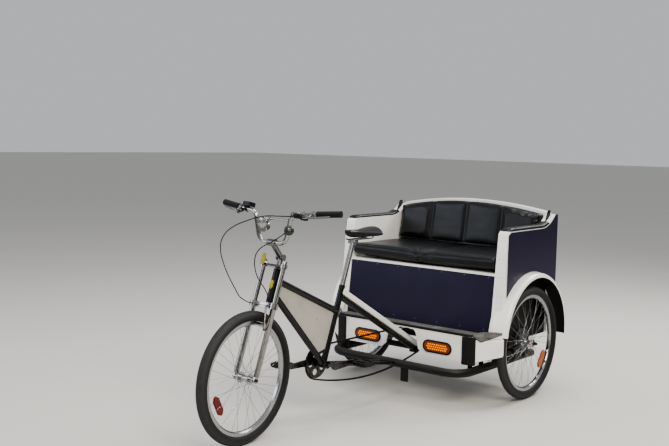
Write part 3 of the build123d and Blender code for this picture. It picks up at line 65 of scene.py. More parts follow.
cameraSet = {
    "place": (4.1894, 3.2677, 1.5221),
    "yaw": -140.327,
    "pitch": 5.104,
    "roll": 1.159,
    "focalPixels": 953.39,
    "imageWidth": 669,
}
stageSet = {"floorHalf": 60.0, "floorColor": "#c9c6c0", "skyColor": "#dfe2e6", "skyStrength": 0.62}
flagSet = {"distance": 7.0, "foot": 0.25, "top": 2.6, "turns": (-172, -118, -62, -8, 46, 92, 140), "wide": 4.6,
           "color": "#16171a"}
lightSets = [
    {"name": "keyLight", "place": (3.2, 4.6, 5.0), "aim": (0.0, 0.0, 0.5), "size": (3.6, 2.6), "power": 330,
     "color": "#fff6ea"},
    {"name": "fillLight", "place": (4.5, -4.2, 3.0), "aim": (0.2, 0.0, 0.6), "size": (4.0, 2.4), "power": 90,
     "color": "#e9f1ff"},
    {"name": "rimLight", "place": (-4.2, 1.5, 4.2), "aim": (-0.3, 0.0, 0.7), "size": (3.0, 1.6), "power": 150,
     "color": "#ffffff"},
    {"name": "topLight", "place": (0.0, 0.0, 6.2), "aim": (0.0, 0.0, 0.0), "size": (5.0, 3.0), "power": 170,
     "color": "#ffffff"},
]


def toLinear(code):
    parts = [int(code[i:i + 2], 16) / 255 for i in (1, 3, 5)]
    return tuple(p / 12.92 if p <= 0.04045 else ((p + 0.055) / 1.055) ** 2.4 for p in parts) + (1.0,)


def setInputs(tree, node, inputs):
    # Links a socket, or a node's first output, and sets anything else as a constant on the node's own socket
    for key, value in inputs.items():
        if isinstance(value, bpy.types.Node):
            value = value.outputs[0]
        if isinstance(value, bpy.types.NodeSocket):
            tree.links.new(value, node.inputs[key])
        else:
            node.inputs[key].default_value = value


def addNode(tree, kind, inputs=None, **settings):
    node = tree.nodes.new(kind)
    for key, value in settings.items():
        setattr(node, key, value)
    setInputs(tree, node, inputs or {})
    return node


def startMaterial(name):
    material = bpy.data.materials.new(name)
    material.use_nodes = True
    return material, material.node_tree, material.node_tree.nodes["Principled BSDF"]


def linkObject(name, data):
    made = bpy.data.objects.new(name, data)
    scene.collection.objects.link(made)
    return made


def at(x, y, z):
    # Millimetres ahead of the rear axle, to the left and above the ground
    return Vector((rearAxle.x + x / 1000, y / 1000, z / 1000))


def onFork(ahead, left, along):
    # Millimetres from the steering axis, for what turns with the fork
    forward = parkedTurn @ Vector((steerAxis.z, 0, -steerAxis.x))
    side = parkedTurn @ Vector((0, 1, 0))
    return steerFoot + (forward * ahead + side * left + steerAxis * along) / 1000


def parked(x, y, z):
    # A place given with the fork straight, turned with it as it stands
    return steerFoot + parkedTurn @ (at(x, y, z) - steerFoot)


def makeCamera(settings):
    yaw, pitch, roll = (math.radians(settings[key]) for key in ("yaw", "pitch", "roll"))
    forward = Vector((math.cos(yaw) * math.cos(pitch), math.sin(yaw) * math.cos(pitch), -math.sin(pitch)))
    levelRight = Vector((math.sin(yaw), -math.cos(yaw), 0))
    levelUp = levelRight.cross(forward)
    right = levelRight * math.cos(roll) + levelUp * math.sin(roll)
    up = levelUp * math.cos(roll) - levelRight * math.sin(roll)
    data = bpy.data.cameras.new("photoCamera")
    data.sensor_width = 36
    data.sensor_fit = "HORIZONTAL"
    data.lens = 36 * settings["focalPixels"] / settings["imageWidth"]
    camera = linkObject("photoCamera", data)
    turn = Matrix((right, up, -forward)).transposed().to_4x4()
    camera.matrix_world = Matrix.Translation(settings["place"]) @ turn
    scene.camera = camera


def makeStage(settings):
    half = settings["floorHalf"]
    mesh = bpy.data.meshes.new("floor")
    corners = [(-half, -half, 0), (half, -half, 0), (half, half, 0), (-half, half, 0)]
    mesh.from_pydata(corners, [], [(0, 1, 2, 3)])
    floor = linkObject("floor", mesh)
    material, tree, shader = startMaterial("floorPaint")
    setInputs(tree, shader, {"Roughness": 0.85, "Base Color": toLinear(settings["floorColor"])})
    mesh.materials.append(material)
    world = bpy.data.worlds.new("studio")
    world.use_nodes = True
    setInputs(world.node_tree, world.node_tree.nodes["Background"],
              {"Color": toLinear(settings["skyColor"]), "Strength": settings["skyStrength"]})
    scene.world = world


def makeLight(settings):
    data = bpy.data.lights.new(settings["name"], "AREA")
    data.shape = "RECTANGLE"
    data.size, data.size_y = settings["size"]
    data.energy = settings["power"]
    data.color = toLinear(settings["color"])[:3]
    light = linkObject(settings["name"], data)
    light.location = settings["place"]
    aim = Vector(settings["aim"]) - Vector(settings["place"])
    light.rotation_mode = "QUATERNION"
    light.rotation_quaternion = aim.to_track_quat("-Z", "Y")


def makeFlags(settings):
    # Black studio flags that only glossy surfaces see, so that chrome and enamel get dark streaks
    points, faces = [], []
    for turn in settings["turns"]:
        way = Vector((math.cos(math.radians(turn)), math.sin(math.radians(turn)), 0))
        side = Vector((-way.y, way.x, 0)) * settings["wide"] / 2
        heart = way * settings["distance"]
        start = len(points)
        for edge, z in ((-1, settings["foot"]), (1, settings["foot"]), (1, settings["top"]), (-1, settings["top"])):
            points.append(heart + side * edge + Vector((0, 0, z)))
        faces.append(tuple(range(start, start + 4)))
    mesh = bpy.data.meshes.new("blackFlags")
    mesh.from_pydata([tuple(point) for point in points], [], faces)
    material, tree, shader = startMaterial("flagCloth")
    setInputs(tree, shader, {"Base Color": toLinear(settings["color"]), "Roughness": 0.95})
    mesh.materials.append(material)
    flags = linkObject("blackFlags", mesh)
    flags.visible_camera = False
    flags.visible_diffuse = False
    flags.visible_shadow = False
    flags.visible_transmission = False


makeCamera(cameraSet)
makeStage(stageSet)
makeFlags(flagSet)
for settings in lightSets:
    makeLight(settings)
scene.view_settings.view_transform = "AgX"
scene.view_settings.look = "AgX - Medium High Contrast"
print("stage done")

# Materials: what each real finish gives the eye. Sizes in millimetres, colours in sRGB

finishDefaults = {"stainTo": 0.7, "metallic": 0.0, "grainDepth": 0.03, "dust": 0.1, "coat": 0.0, "shine": 0.5}
finishSets = {
    # Chromed steel tube: mirror plate with pin rust and road film
    "chromedSteel": {"base": "#a9a7a4", "stain": "#6f6a63", "stainMm": 14, "stainFrom": 0.56, "stainTo": 0.78,
                     "gloss": (0.10, 0.30), "metallic": 1.0, "grainMm": 2.5, "grainDepth": 0.02, "dust": 0.06},
    # Polished and chromed wheel: rim, hub and spokes under brake and road dust
    "platedWheel": {"base": "#a9aaac", "stain": "#67655f", "stainMm": 9, "stainFrom": 0.54, "stainTo": 0.82,
                    "gloss": (0.14, 0.34), "metallic": 1.0, "grainMm": 2, "grainDepth": 0.02, "dust": 0.05},
    # Cast aluminium, brushed by hand
    "castAluminium": {"base": "#868686", "stain": "#7c7b78", "stainMm": 11, "stainFrom": 0.45, "stainTo": 0.75,
                      "gloss": (0.28, 0.48), "metallic": 1.0, "grainMm": 0.9},
    # Machined steel, a little oiled
    "machinedSteel": {"base": "#5b5a58", "stain": "#2b2826", "stainMm": 16, "stainFrom": 0.42, "stainTo": 0.66,
                      "gloss": (0.25, 0.5), "metallic": 1.0, "grainMm": 1.2, "dust": 0.12},
    # Brake disc: ground steel with a dull blue bloom
    "discSteel": {"base": "#4f5052", "stain": "#37383a", "stainMm": 12, "stainFrom": 0.42, "stainTo": 0.66,
                  "gloss": (0.3, 0.48), "metallic": 1.0, "grainMm": 1.2},
    # Roller chain: oiled carbon steel with dark grime
    "oiledChainSteel": {"base": "#4a443d", "stain": "#17140f", "stainMm": 7, "stainFrom": 0.4, "stainTo": 0.6,
                        "gloss": (0.22, 0.5), "metallic": 0.9, "grainMm": 1, "dust": 0.0},
    # Gloss black enamel on frame tubes: deep, slightly wavy, dusty on top
    "blackEnamel": {"base": "#060607", "stain": "#0f0f10", "stainMm": 45, "stainFrom": 0.45,
                    "gloss": (0.2, 0.36), "grainMm": 6, "grainDepth": 0.04, "dust": 0.08, "coat": 0.25,
                    "shine": 0.32},
    # Powder coat on the chassis: satin, pebbled, with road dust
    "blackPowderCoat": {"base": "#0a0a0b", "stain": "#181716", "stainMm": 60, "stainFrom": 0.42,
                        "gloss": (0.34, 0.58), "grainMm": 1.6, "grainDepth": 0.06, "dust": 0.16, "shine": 0.32},
    # White enamel on the stay
    "whiteEnamel": {"base": "#e4e3de", "stain": "#c9c5bb", "stainMm": 40, "stainFrom": 0.55, "stainTo": 0.85,
                    "gloss": (0.2, 0.4), "grainMm": 5, "dust": 0.12, "coat": 0.3},
    # Gelcoat on moulded fibreglass: white, glossy, faint orange peel and yellowed streaks
    "whiteGelcoat": {"base": "#efeeea", "stain": "#dcd8cf", "stainMm": 90, "stainFrom": 0.5, "stainTo": 0.82,
                     "gloss": (0.16, 0.34), "grainMm": 7, "grainDepth": 0.05, "dust": 0.06, "coat": 0.4},
    # Black gelcoat and stone-chip coat inside the wheel houses
    "blackUnderseal": {"base": "#060606", "stain": "#121110", "stainMm": 30, "stainFrom": 0.42,
                       "gloss": (0.5, 0.75), "grainMm": 3, "grainDepth": 0.25, "shine": 0.32},
    # Printed vinyl film on flat board: deep indigo, satin, a faint drum pattern
    "indigoFilm": {"base": "#150e2c", "stain": "#181030", "stainMm": 220, "stainFrom": 0.3, "stainTo": 0.8,
                   "gloss": (0.3, 0.4), "grainMm": 24, "grainDepth": 0.0, "dust": 0.0, "shine": 0.4},
    # Painted board: warm grey, hand dirt and rain streaks
    "paintedBoard": {"base": "#a9a59c", "stain": "#969188", "stainMm": 120, "stainFrom": 0.48, "stainTo": 0.8,
                     "gloss": (0.35, 0.55), "grainMm": 2, "grainDepth": 0.04, "dust": 0.05},
    # Moulded rubber: matt black with a grey bloom
    "mouldedRubber": {"base": "#0a0a0b", "stain": "#1b1b1b", "stainMm": 25, "stainFrom": 0.45, "stainTo": 0.75,
                      "gloss": (0.5, 0.72), "grainMm": 1.1, "grainDepth": 0.05, "shine": 0.32},
    # ABS mouldings: black, fine spark-eroded grain
    "blackAbs": {"base": "#08090a", "stain": "#121314", "stainMm": 20, "stainFrom": 0.4,
                 "gloss": (0.3, 0.46), "grainMm": 0.8, "grainDepth": 0.04, "dust": 0.08, "shine": 0.32},
    # Bell enamel: grey green lacquer over brass
    "bellLacquer": {"base": "#3f4740", "stain": "#222621", "stainMm": 9, "stainFrom": 0.45,
                    "gloss": (0.24, 0.42), "metallic": 0.6, "grainMm": 2, "grainDepth": 0.02, "coat": 0.15},
    # Display glass: blue grey, glossy
    "displayGlass": {"base": "#3b4653", "stain": "#566270", "stainMm": 30, "stainFrom": 0.4,
                     "gloss": (0.06, 0.14), "grainMm": 30, "grainDepth": 0.0, "dust": 0.05, "coat": 1.0},
    # Head lamp glass over its mirror bowl: bright grey, wet gloss
    "lampGlass": {"base": "#b9bfc4", "stain": "#7f868c", "stainMm": 9, "stainFrom": 0.35, "stainTo": 0.65,
                  "gloss": (0.05, 0.12), "metallic": 0.55, "grainMm": 6, "grainDepth": 0.0, "dust": 0.05,
                  "coat": 1.0},
    # Yellow cable tag: soft PVC
    "yellowTag": {"base": "#a89c22", "stain": "#6d6719", "stainMm": 6, "stainFrom": 0.4,
                  "gloss": (0.35, 0.5), "grainMm": 1, "dust": 0.05},
}


def makeFinish(name, look):
    # Base and stain colours, uneven gloss, grain, and dust on whatever faces up
    material, tree, shader = startMaterial(name)
    place = addNode(tree, "ShaderNodeTexCoord").outputs["Object"]
    cloud = addNode(tree, "ShaderNodeTexNoise",
                    {"Vector": place, "Scale": 1000 / look["stainMm"], "Detail": 7.0, "Roughness": 0.62})
    stained = addNode(tree, "ShaderNodeMapRange",
                      {"Value": cloud, "From Min": look["stainFrom"], "From Max": look["stainTo"]})
    color = addNode(tree, "ShaderNodeMix", {0: stained, 6: toLinear(look["base"]), 7: toLinear(look["stain"])},
                    data_type="RGBA")
    gloss = addNode(tree, "ShaderNodeMapRange", {"Value": cloud, "From Min": 0.3, "From Max": 0.75,
                                                 "To Min": look["gloss"][0], "To Max": look["gloss"][1]})
    up = addNode(tree, "ShaderNodeSeparateXYZ", {"Vector": addNode(tree, "ShaderNodeNewGeometry").outputs["Normal"]})
    lying = addNode(tree, "ShaderNodeMapRange",
                    {"Value": up.outputs["Z"], "From Min": 0.25, "From Max": 1.0, "To Max": look["dust"]})
    speck = addNode(tree, "ShaderNodeTexNoise", {"Vector": place, "Scale": 160.0, "Detail": 5.0, "Roughness": 0.7})
    dust = addNode(tree, "ShaderNodeMath", {0: lying, 1: speck}, operation="MULTIPLY")
    dusty = addNode(tree, "ShaderNodeMix", {0: dust, 6: color.outputs[2], 7: toLinear("#8f887c")},
                    data_type="RGBA")
    duller = addNode(tree, "ShaderNodeMath", {0: gloss, 1: dust}, operation="ADD")
    setInputs(tree, shader, {"Base Color": dusty.outputs[2], "Roughness": duller,
                             "Metallic": look["metallic"], "Specular IOR Level": look["shine"],
                             "Coat Weight": look["coat"], "Coat Roughness": 0.12})
    if look["grainDepth"]:
        grain = addNode(tree, "ShaderNodeTexNoise", {"Vector": place, "Scale": 1000 / look["grainMm"], "Detail": 3.0})
        bump = addNode(tree, "ShaderNodeBump",
                       {"Height": grain, "Strength": 0.6, "Distance": look["grainDepth"] / 1000})
        setInputs(tree, shader, {"Normal": bump})
    return material


finishes = {name: makeFinish(name, {**finishDefaults, **look}) for name, look in finishSets.items()}

vinylSet = {"base": "#070708", "worn": "#0f0f11", "cellMm": 1.6, "cellDepth": 0.10, "creaseMm": 55,
            "creaseDepth": 1.6}


def makeVinyl(look):
    # Expanded PVC seat cover: glossy black, pressed leather grain, soft creases where it is pulled
    material, tree, shader = startMaterial("seatVinyl")
    place = addNode(tree, "ShaderNodeTexCoord").outputs["Object"]
    worn = addNode(tree, "ShaderNodeTexNoise", {"Vector": place, "Scale": 9.0, "Detail": 6.0, "Roughness": 0.6})
    color = addNode(tree, "ShaderNodeMix",
                    {0: worn, 6: toLinear(look["base"]), 7: toLinear(look["worn"])}, data_type="RGBA")
    gloss = addNode(tree, "ShaderNodeMapRange",
                    {"Value": worn, "From Min": 0.3, "From Max": 0.7, "To Min": 0.34, "To Max": 0.46})
    cells = addNode(tree, "ShaderNodeTexVoronoi", {"Vector": place, "Scale": 1000 / look["cellMm"]},
                    feature="DISTANCE_TO_EDGE")
    pebble = addNode(tree, "ShaderNodeMapRange", {"Value": cells, "From Max": 0.25})
    stretched = addNode(tree, "ShaderNodeMapping", {"Vector": place, "Scale": (1.0, 2.6, 1.0)})
    crease = addNode(tree, "ShaderNodeTexNoise",
                     {"Vector": stretched, "Scale": 1000 / look["creaseMm"], "Detail": 2.0})
    folds = addNode(tree, "ShaderNodeBump",
                    {"Height": crease, "Strength": 0.5, "Distance": look["creaseDepth"] / 1000})
    skin = addNode(tree, "ShaderNodeBump", {"Height": pebble, "Strength": 0.5, "Distance": look["cellDepth"] / 1000,
                                            "Normal": folds})
    setInputs(tree, shader, {"Base Color": color.outputs[2], "Roughness": gloss,
                             "Normal": skin, "Specular IOR Level": 0.36, "Coat Weight": 0.12,
                             "Coat Roughness": 0.22})
    return material


matSet = {"base": "#3b3b3b", "fleck": "#7c7b77", "gritMm": 2.6, "gritDepth": 0.5}


def makeGripMat(look):
    # Step mat: grey rubber with pressed grit, drawn a little coarse so that it shows
    material, tree, shader = startMaterial("gripMatRubber")
    place = addNode(tree, "ShaderNodeTexCoord").outputs["Object"]
    grit = addNode(tree, "ShaderNodeTexNoise", {"Vector": place, "Scale": 1000 / look["gritMm"], "Detail": 2.0})
    wear = addNode(tree, "ShaderNodeTexNoise", {"Vector": place, "Scale": 12.0, "Detail": 5.0})
    both = addNode(tree, "ShaderNodeMix", {0: 0.35, 2: grit, 3: wear})
    bright = addNode(tree, "ShaderNodeMapRange", {"Value": both, "From Min": 0.4, "From Max": 0.6})
    color = addNode(tree, "ShaderNodeMix", {0: bright, 6: toLinear(look["base"]), 7: toLinear(look["fleck"])},
                    data_type="RGBA")
    bump = addNode(tree, "ShaderNodeBump", {"Height": grit, "Strength": 0.7, "Distance": look["gritDepth"] / 1000})
    setInputs(tree, shader, {"Base Color": color.outputs[2], "Normal": bump, "Roughness": 0.82,
                             "Specular IOR Level": 0.25})
    return material


lensSets = {
    # Polycarbonate lamp lens over lit diodes
    "amberLens": {"deep": "#5a2402", "bright": "#a84a06", "cellMm": 2.0, "glow": 0.1},
    # The lit diodes under it
    "amberDiode": {"deep": "#f27a00", "bright": "#ffa41c", "cellMm": 1.5, "glow": 0.55},
    # Acrylic reflectors with a pressed prism field, then the red tail lamp's lens: none of them is lit, so their glow
    # is painted glint
    "redReflector": {"deep": "#3f0305", "bright": "#930c0c", "cellMm": 2.6, "glow": 0.05},
    "amberReflector": {"deep": "#7c3400", "bright": "#cf6a08", "cellMm": 2.6, "glow": 0.08},
    "redLens": {"deep": "#4a0406", "bright": "#8f0d10", "cellMm": 2.2, "glow": 0.04},
    # Unlit diodes under the red lens; their glow is painted light
    "redDiode": {"deep": "#9c1512", "bright": "#d8382a", "cellMm": 1.5, "glow": 0.12},
}


def makeLens(name, look):
    # Clear coloured plastic: glossy outside, cells inside painted brighter at their middles and set to emit; on the
    # lit amber lamps that is lamp light, on the reflectors and the unlit tail lamp it is painted glint
    material, tree, shader = startMaterial(name)
    place = addNode(tree, "ShaderNodeTexCoord").outputs["Object"]
    cells = addNode(tree, "ShaderNodeTexVoronoi", {"Vector": place, "Scale": 1000 / look["cellMm"]}, feature="F1")
    cellGlintAndRelief = addNode(tree, "ShaderNodeMapRange", {"Value": cells, "From Max": 0.7})
    color = addNode(tree, "ShaderNodeMix", {0: cellGlintAndRelief, 6: toLinear(look["bright"]), 7: toLinear(look["deep"])},
                    data_type="RGBA")
    bump = addNode(tree, "ShaderNodeBump", {"Height": cellGlintAndRelief, "Strength": 0.25, "Distance": 0.0004})
    # The cell colour also drives the emission: painted glint and glow wherever the part is not lit
    setInputs(tree, shader, {"Base Color": color.outputs[2], "Emission Color": color.outputs[2],
                             "Normal": bump, "Emission Strength": look["glow"], "Roughness": 0.2,
                             "IOR": 1.58, "Specular IOR Level": 0.3, "Coat Weight": 0.15})
    return material


finishes["seatVinyl"] = makeVinyl(vinylSet)
finishes["gripMatRubber"] = makeGripMat(matSet)
for name, look in lensSets.items():
    finishes[name] = makeLens(name, look)

rubberSet = {"base": "#0b0b0c", "worn": "#464749"}


def makeTyreRubber(look):
    # Cycle tyre rubber: carbon black gone grey on the tread, ribbed sidewall, dust in the grooves
    material, tree, shader = startMaterial("tyreRubber")
    place = addNode(tree, "ShaderNodeTexCoord").outputs["Object"]
    height = addNode(tree, "ShaderNodeAttribute", attribute_name="crown")
    cloud = addNode(tree, "ShaderNodeTexNoise", {"Vector": place, "Scale": 42.0, "Detail": 7.0, "Roughness": 0.65})
    crown = addNode(tree, "ShaderNodeMapRange", {"Value": height.outputs["Fac"], "From Min": 0.35, "From Max": 0.95})
    worn = addNode(tree, "ShaderNodeMath", {0: crown, 1: cloud}, operation="MULTIPLY")
    color = addNode(tree, "ShaderNodeMix", {0: worn, 6: toLinear(look["base"]), 7: toLinear(look["worn"])},
                    data_type="RGBA")
    ribs = addNode(tree, "ShaderNodeMath", {0: height.outputs["Fac"], 1: 95.0}, operation="MULTIPLY")
    wave = addNode(tree, "ShaderNodeMath", {0: ribs}, operation="SINE")
    side = addNode(tree, "ShaderNodeMapRange", {"Value": height.outputs["Fac"], "From Min": 0.55, "From Max": 0.5})
    ribbed = addNode(tree, "ShaderNodeMath", {0: wave, 1: side}, operation="MULTIPLY")
    rough = addNode(tree, "ShaderNodeTexNoise", {"Vector": place, "Scale": 700.0, "Detail": 2.0})
    relief = addNode(tree, "ShaderNodeMath", {0: ribbed, 1: rough}, operation="ADD")
    bump = addNode(tree, "ShaderNodeBump", {"Height": relief, "Strength": 0.5, "Distance": 0.0003})
    gloss = addNode(tree, "ShaderNodeMapRange", {"Value": cloud, "To Min": 0.5, "To Max": 0.85})
    setInputs(tree, shader, {"Base Color": color.outputs[2], "Roughness": gloss,
                             "Normal": bump})
    return material


finishes["tyreRubber"] = makeTyreRubber(rubberSet)

slotFinish = {
    "chrome": "chromedSteel", "tyre": "tyreRubber", "black_paint": "blackEnamel", "white_paint": "whiteEnamel",
    "white_shell": "whiteGelcoat", "dark_sign": "indigoFilm", "pale_sign": "paintedBoard", "black_vinyl": "seatVinyl",
    "black_pad": "mouldedRubber", "silver": "castAluminium", "grip": "mouldedRubber", "chain": "oiledChainSteel",
    "mat": "gripMatRubber", "amber_lamp": "amberLens", "red_lamp": "redLens", "black_plastic": "blackAbs",
    "steel": "machinedSteel",
}
nodeSlot = {part["node"]: part["material_slot"] for part in record["subparts"]}
nodeFinish = {node: slotFinish[slot] for node, slot in nodeSlot.items()}
nodeFinish.update({
    "chassis": "blackPowderCoat", "brake_calipers": "blackPowderCoat", "canopy_brackets": "blackPowderCoat",
    "front_wheel": "platedWheel", "rear_left_wheel": "platedWheel", "rear_right_wheel": "platedWheel",
    "bell": "bellLacquer", "head_lamp": "chromedSteel",
})
for node, finish in nodeFinish.items():
    for slot in nodes[node].material_slots:
        slot.material = finishes[finish]
print("finishes done")

# Tools for pieces

def workCopy(node, name, flatAngle=0.5):
    # A merged copy of a CAD node, its flat faces made whole
    mesh = nodes[node].data.copy()
    mesh.name = name
    bm = bmesh.new()
    bm.from_mesh(mesh)
    bmesh.ops.remove_doubles(bm, verts=bm.verts, dist=1e-5)
    if flatAngle:
        bmesh.ops.dissolve_limit(bm, angle_limit=math.radians(flatAngle), verts=bm.verts, edges=bm.edges)
    bm.to_mesh(mesh)
    bm.free()
    mesh.materials.clear()
    return linkObject(name, mesh)


def settle(piece):
    # Turns the piece's modifiers into its plain mesh
    graph = bpy.context.evaluated_depsgraph_get()
    graph.update()
    mesh = bpy.data.meshes.new_from_object(piece.evaluated_get(graph), preserve_all_data_layers=True, depsgraph=graph)
    old = piece.data
    piece.modifiers.clear()
    piece.data = mesh
    if old.users == 0:
        bpy.data.meshes.remove(old)
    return piece


def smoothShade(mesh, angle):
    for face in mesh.polygons:
        face.use_smooth = True
    mesh.set_sharp_from_angle(angle=math.radians(angle))


def refine(piece):
    subdivide = piece.modifiers.new("fine", "SUBSURF")
    subdivide.levels = subdivide.render_levels = 1
    return settle(piece)


def soften(piece, width, segments=2, angle=32):
    bevel = piece.modifiers.new("edgeRound", "BEVEL")
    bevel.width = width
    bevel.segments = segments
    bevel.limit_method = "ANGLE"
    bevel.angle_limit = math.radians(angle)
    bevel.harden_normals = True
    smoothShade(piece.data, angle)
    return settle(piece)


def place(piece, body, slot, *replaced):
    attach(piece, body)
    if replaced:
        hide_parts(*replaced)
    return piece


def meshPiece(name, points, faces, finish, smooth=True):
    mesh = bpy.data.meshes.new(name)
    mesh.from_pydata([tuple(p) for p in points], [], faces)
    mesh.materials.append(finishes[finish])
    mesh.update()
    bm = bmesh.new()
    bm.from_mesh(mesh)
    bmesh.ops.recalc_face_normals(bm, faces=bm.faces)
    bm.to_mesh(mesh)
    bm.free()
    if smooth:
        smoothShade(mesh, 40)
    return linkObject(name, mesh)


def ringFaces(rings, size, ends="open"):
    # Quads between neighbouring rings of points, whose end rings stay open, are capped or are joined
    faces = []
    for i in range(rings if ends == "joined" else rings - 1):
        n = (i + 1) % rings
        for j in range(size):
            k = (j + 1) % size
            faces.append((i * size + j, i * size + k, n * size + k, n * size + j))
    if ends == "capped":
        faces += [tuple(range(size)), tuple(range((rings - 1) * size, rings * size))]
    return faces


def padForm(middle, half, planPower, risePower, rings, turns):
    # A closed cushion form: a superellipse in plan and in height
    points = []

    def power(value, exponent):
        return math.copysign(abs(value) ** exponent, value)

    for i in range(rings + 1):
        rise = -math.pi / 2 + math.pi * i / rings
        for j in range(turns):
            turn = 2 * math.pi * j / turns
            ring = power(math.cos(rise), 2 / risePower)
            z = power(math.sin(rise), 2 / risePower)
            points.append(middle + Vector((half[0] * ring * power(math.cos(turn), 2 / planPower),
                                           half[1] * ring * power(math.sin(turn), 2 / planPower), half[2] * z)))
    return points, ringFaces(rings + 1, turns)


def joinForms(forms):
    points, faces = [], []
    for formPoints, formFaces in forms:
        start = len(points)
        points += formPoints
        faces += [tuple(start + i for i in face) for face in formFaces]
    return points, faces


def tubeForm(path, radius, sides=10, closed=False):
    # A round tube through the points of a path; radius may be a function of the share travelled
    points = []
    count = len(path)
    normal = None
    for i, here in enumerate(path):
        before = path[i - 1] if (i or closed) else here
        after = path[(i + 1) % count] if (i < count - 1 or closed) else here
        way = (after - before).normalized()
        if normal is None:
            normal = way.orthogonal().normalized()
        normal = (normal - way * normal.dot(way)).normalized()
        side = way.cross(normal)
        size = radius(i / max(1, count - 1)) if callable(radius) else radius
        for j in range(sides):
            turn = 2 * math.pi * j / sides
            points.append(here + normal * size * math.cos(turn) + side * size * math.sin(turn))
    return points, ringFaces(count, sides, "joined" if closed else "capped")


def boxForm(middle, axes, half, taper=1.0):
    # A block on three axes whose top is narrower by taper
    points = []
    for k in (-1, 1):
        shrink = taper if k > 0 else 1.0
        for i, j in ((-1, -1), (1, -1), (1, 1), (-1, 1)):
            points.append(middle + axes[0] * half[0] * i * shrink + axes[1] * half[1] * j * shrink
                          + axes[2] * half[2] * k)
    return points, [(3, 2, 1, 0), (4, 5, 6, 7), (0, 1, 5, 4), (1, 2, 6, 5), (2, 3, 7, 6), (3, 0, 4, 7)]


def domeForm(radius, high, sides=14, rings=4):
    # A closed dome on a flat foot
    points = []
    for i in range(rings):
        rise = math.pi / 2 * i / rings
        for j in range(sides):
            turn = 2 * math.pi * j / sides
            points.append(Vector((radius * math.cos(rise) * math.cos(turn), radius * math.cos(rise) * math.sin(turn),
                                  high * math.sin(rise))))
    points.append(Vector((0, 0, high)))
    faces = ringFaces(rings, sides)
    last = (rings - 1) * sides
    faces += [(last + j, last + (j + 1) % sides, rings * sides) for j in range(sides)]
    faces.append(tuple(range(sides)))
    return points, faces


def movedForm(form, heart, turn):
    return [heart + turn @ point for point in form[0]], form[1]


def addPiece(name, form, finish, body, slot, *replaced):
    return place(meshPiece(name, form[0], form[1], finish), body, slot, *replaced)


def makeRepeatTree():
    # Stands one template on points that carry their own turn
    tree = bpy.data.node_groups.new("repeatPiece", "GeometryNodeTree")
    face = tree.interface
    face.new_socket("Geometry", in_out="INPUT", socket_type="NodeSocketGeometry")
    face.new_socket("Template", in_out="INPUT", socket_type="NodeSocketObject")
    face.new_socket("Size", in_out="INPUT", socket_type="NodeSocketFloat").default_value = 1.0
    face.new_socket("Unevenness", in_out="INPUT", socket_type="NodeSocketFloat").default_value = 0.0
    face.new_socket("Finish", in_out="INPUT", socket_type="NodeSocketMaterial")
    face.new_socket("Geometry", in_out="OUTPUT", socket_type="NodeSocketGeometry")
    given = addNode(tree, "NodeGroupInput")
    template = addNode(tree, "GeometryNodeObjectInfo", {"Object": given.outputs["Template"]},
                       transform_space="ORIGINAL")
    turn = addNode(tree, "GeometryNodeInputNamedAttribute", {"Name": "turn"}, data_type="FLOAT_VECTOR")
    rotation = addNode(tree, "FunctionNodeEulerToRotation", {"Euler": turn.outputs["Attribute"]})
    less = addNode(tree, "ShaderNodeMath", {0: 1.0, 1: given.outputs["Unevenness"]}, operation="SUBTRACT")
    more = addNode(tree, "ShaderNodeMath", {0: 1.0, 1: given.outputs["Unevenness"]}, operation="ADD")
    vary = addNode(tree, "FunctionNodeRandomValue", {2: less, 3: more, "Seed": 11}, data_type="FLOAT")
    size = addNode(tree, "ShaderNodeMath", {0: given.outputs["Size"], 1: vary.outputs[1]}, operation="MULTIPLY")
    stood = addNode(tree, "GeometryNodeInstanceOnPoints", {
        "Points": given.outputs["Geometry"], "Instance": template.outputs["Geometry"],
        "Rotation": rotation.outputs["Rotation"], "Scale": size})
    real = addNode(tree, "GeometryNodeRealizeInstances", {"Geometry": stood.outputs["Instances"]})
    dressed = addNode(tree, "GeometryNodeSetMaterial",
                      {"Geometry": real.outputs["Geometry"], "Material": given.outputs["Finish"]})
    addNode(tree, "NodeGroupOutput", {"Geometry": dressed.outputs["Geometry"]})
    return tree


repeatTree = makeRepeatTree()


def repeatPiece(name, places, form, finish, size=1.0, unevenness=0.0, sharp=40):
    # places: (point, turn matrix); form: the template's points and faces about the origin
    template = meshPiece(name + "Template", form[0], form[1], finish)
    mesh = bpy.data.meshes.new(name)
    mesh.from_pydata([tuple(point) for point, turn in places], [], [])
    turns = mesh.attributes.new("turn", "FLOAT_VECTOR", "POINT")
    for i, (point, turn) in enumerate(places):
        turns.data[i].vector = turn.to_euler()
    piece = linkObject(name, mesh)
    modifier = piece.modifiers.new("repeat", "NODES")
    modifier.node_group = repeatTree
    values = {"Template": template, "Size": size, "Unevenness": unevenness, "Finish": finishes[finish]}
    for item in repeatTree.interface.items_tree:
        if item.in_out == "INPUT" and item.name in values:
            modifier[item.identifier] = values[item.name]
    settle(piece)
    bpy.data.objects.remove(template)
    used = piece.data.attributes.get("turn")
    if used:
        piece.data.attributes.remove(used)
    smoothShade(piece.data, sharp)
    return piece


# Cab shell: merged copies with rounded edges, black where the wheel houses are lined

shellSet = {"round": 0.0035, "fenderRound": 0.0015, "liningRadius": 0.3755, "wallReach": 0.02,
            "archAxis": (-30, 372), "archSide": 0.57}
softWidths = {"corner_bumpers": 0.003, "seat_front": 0.0015, "frame_sign": 0.0008, "crankset": 0.0008,
              "floor_mat": 0.0012}


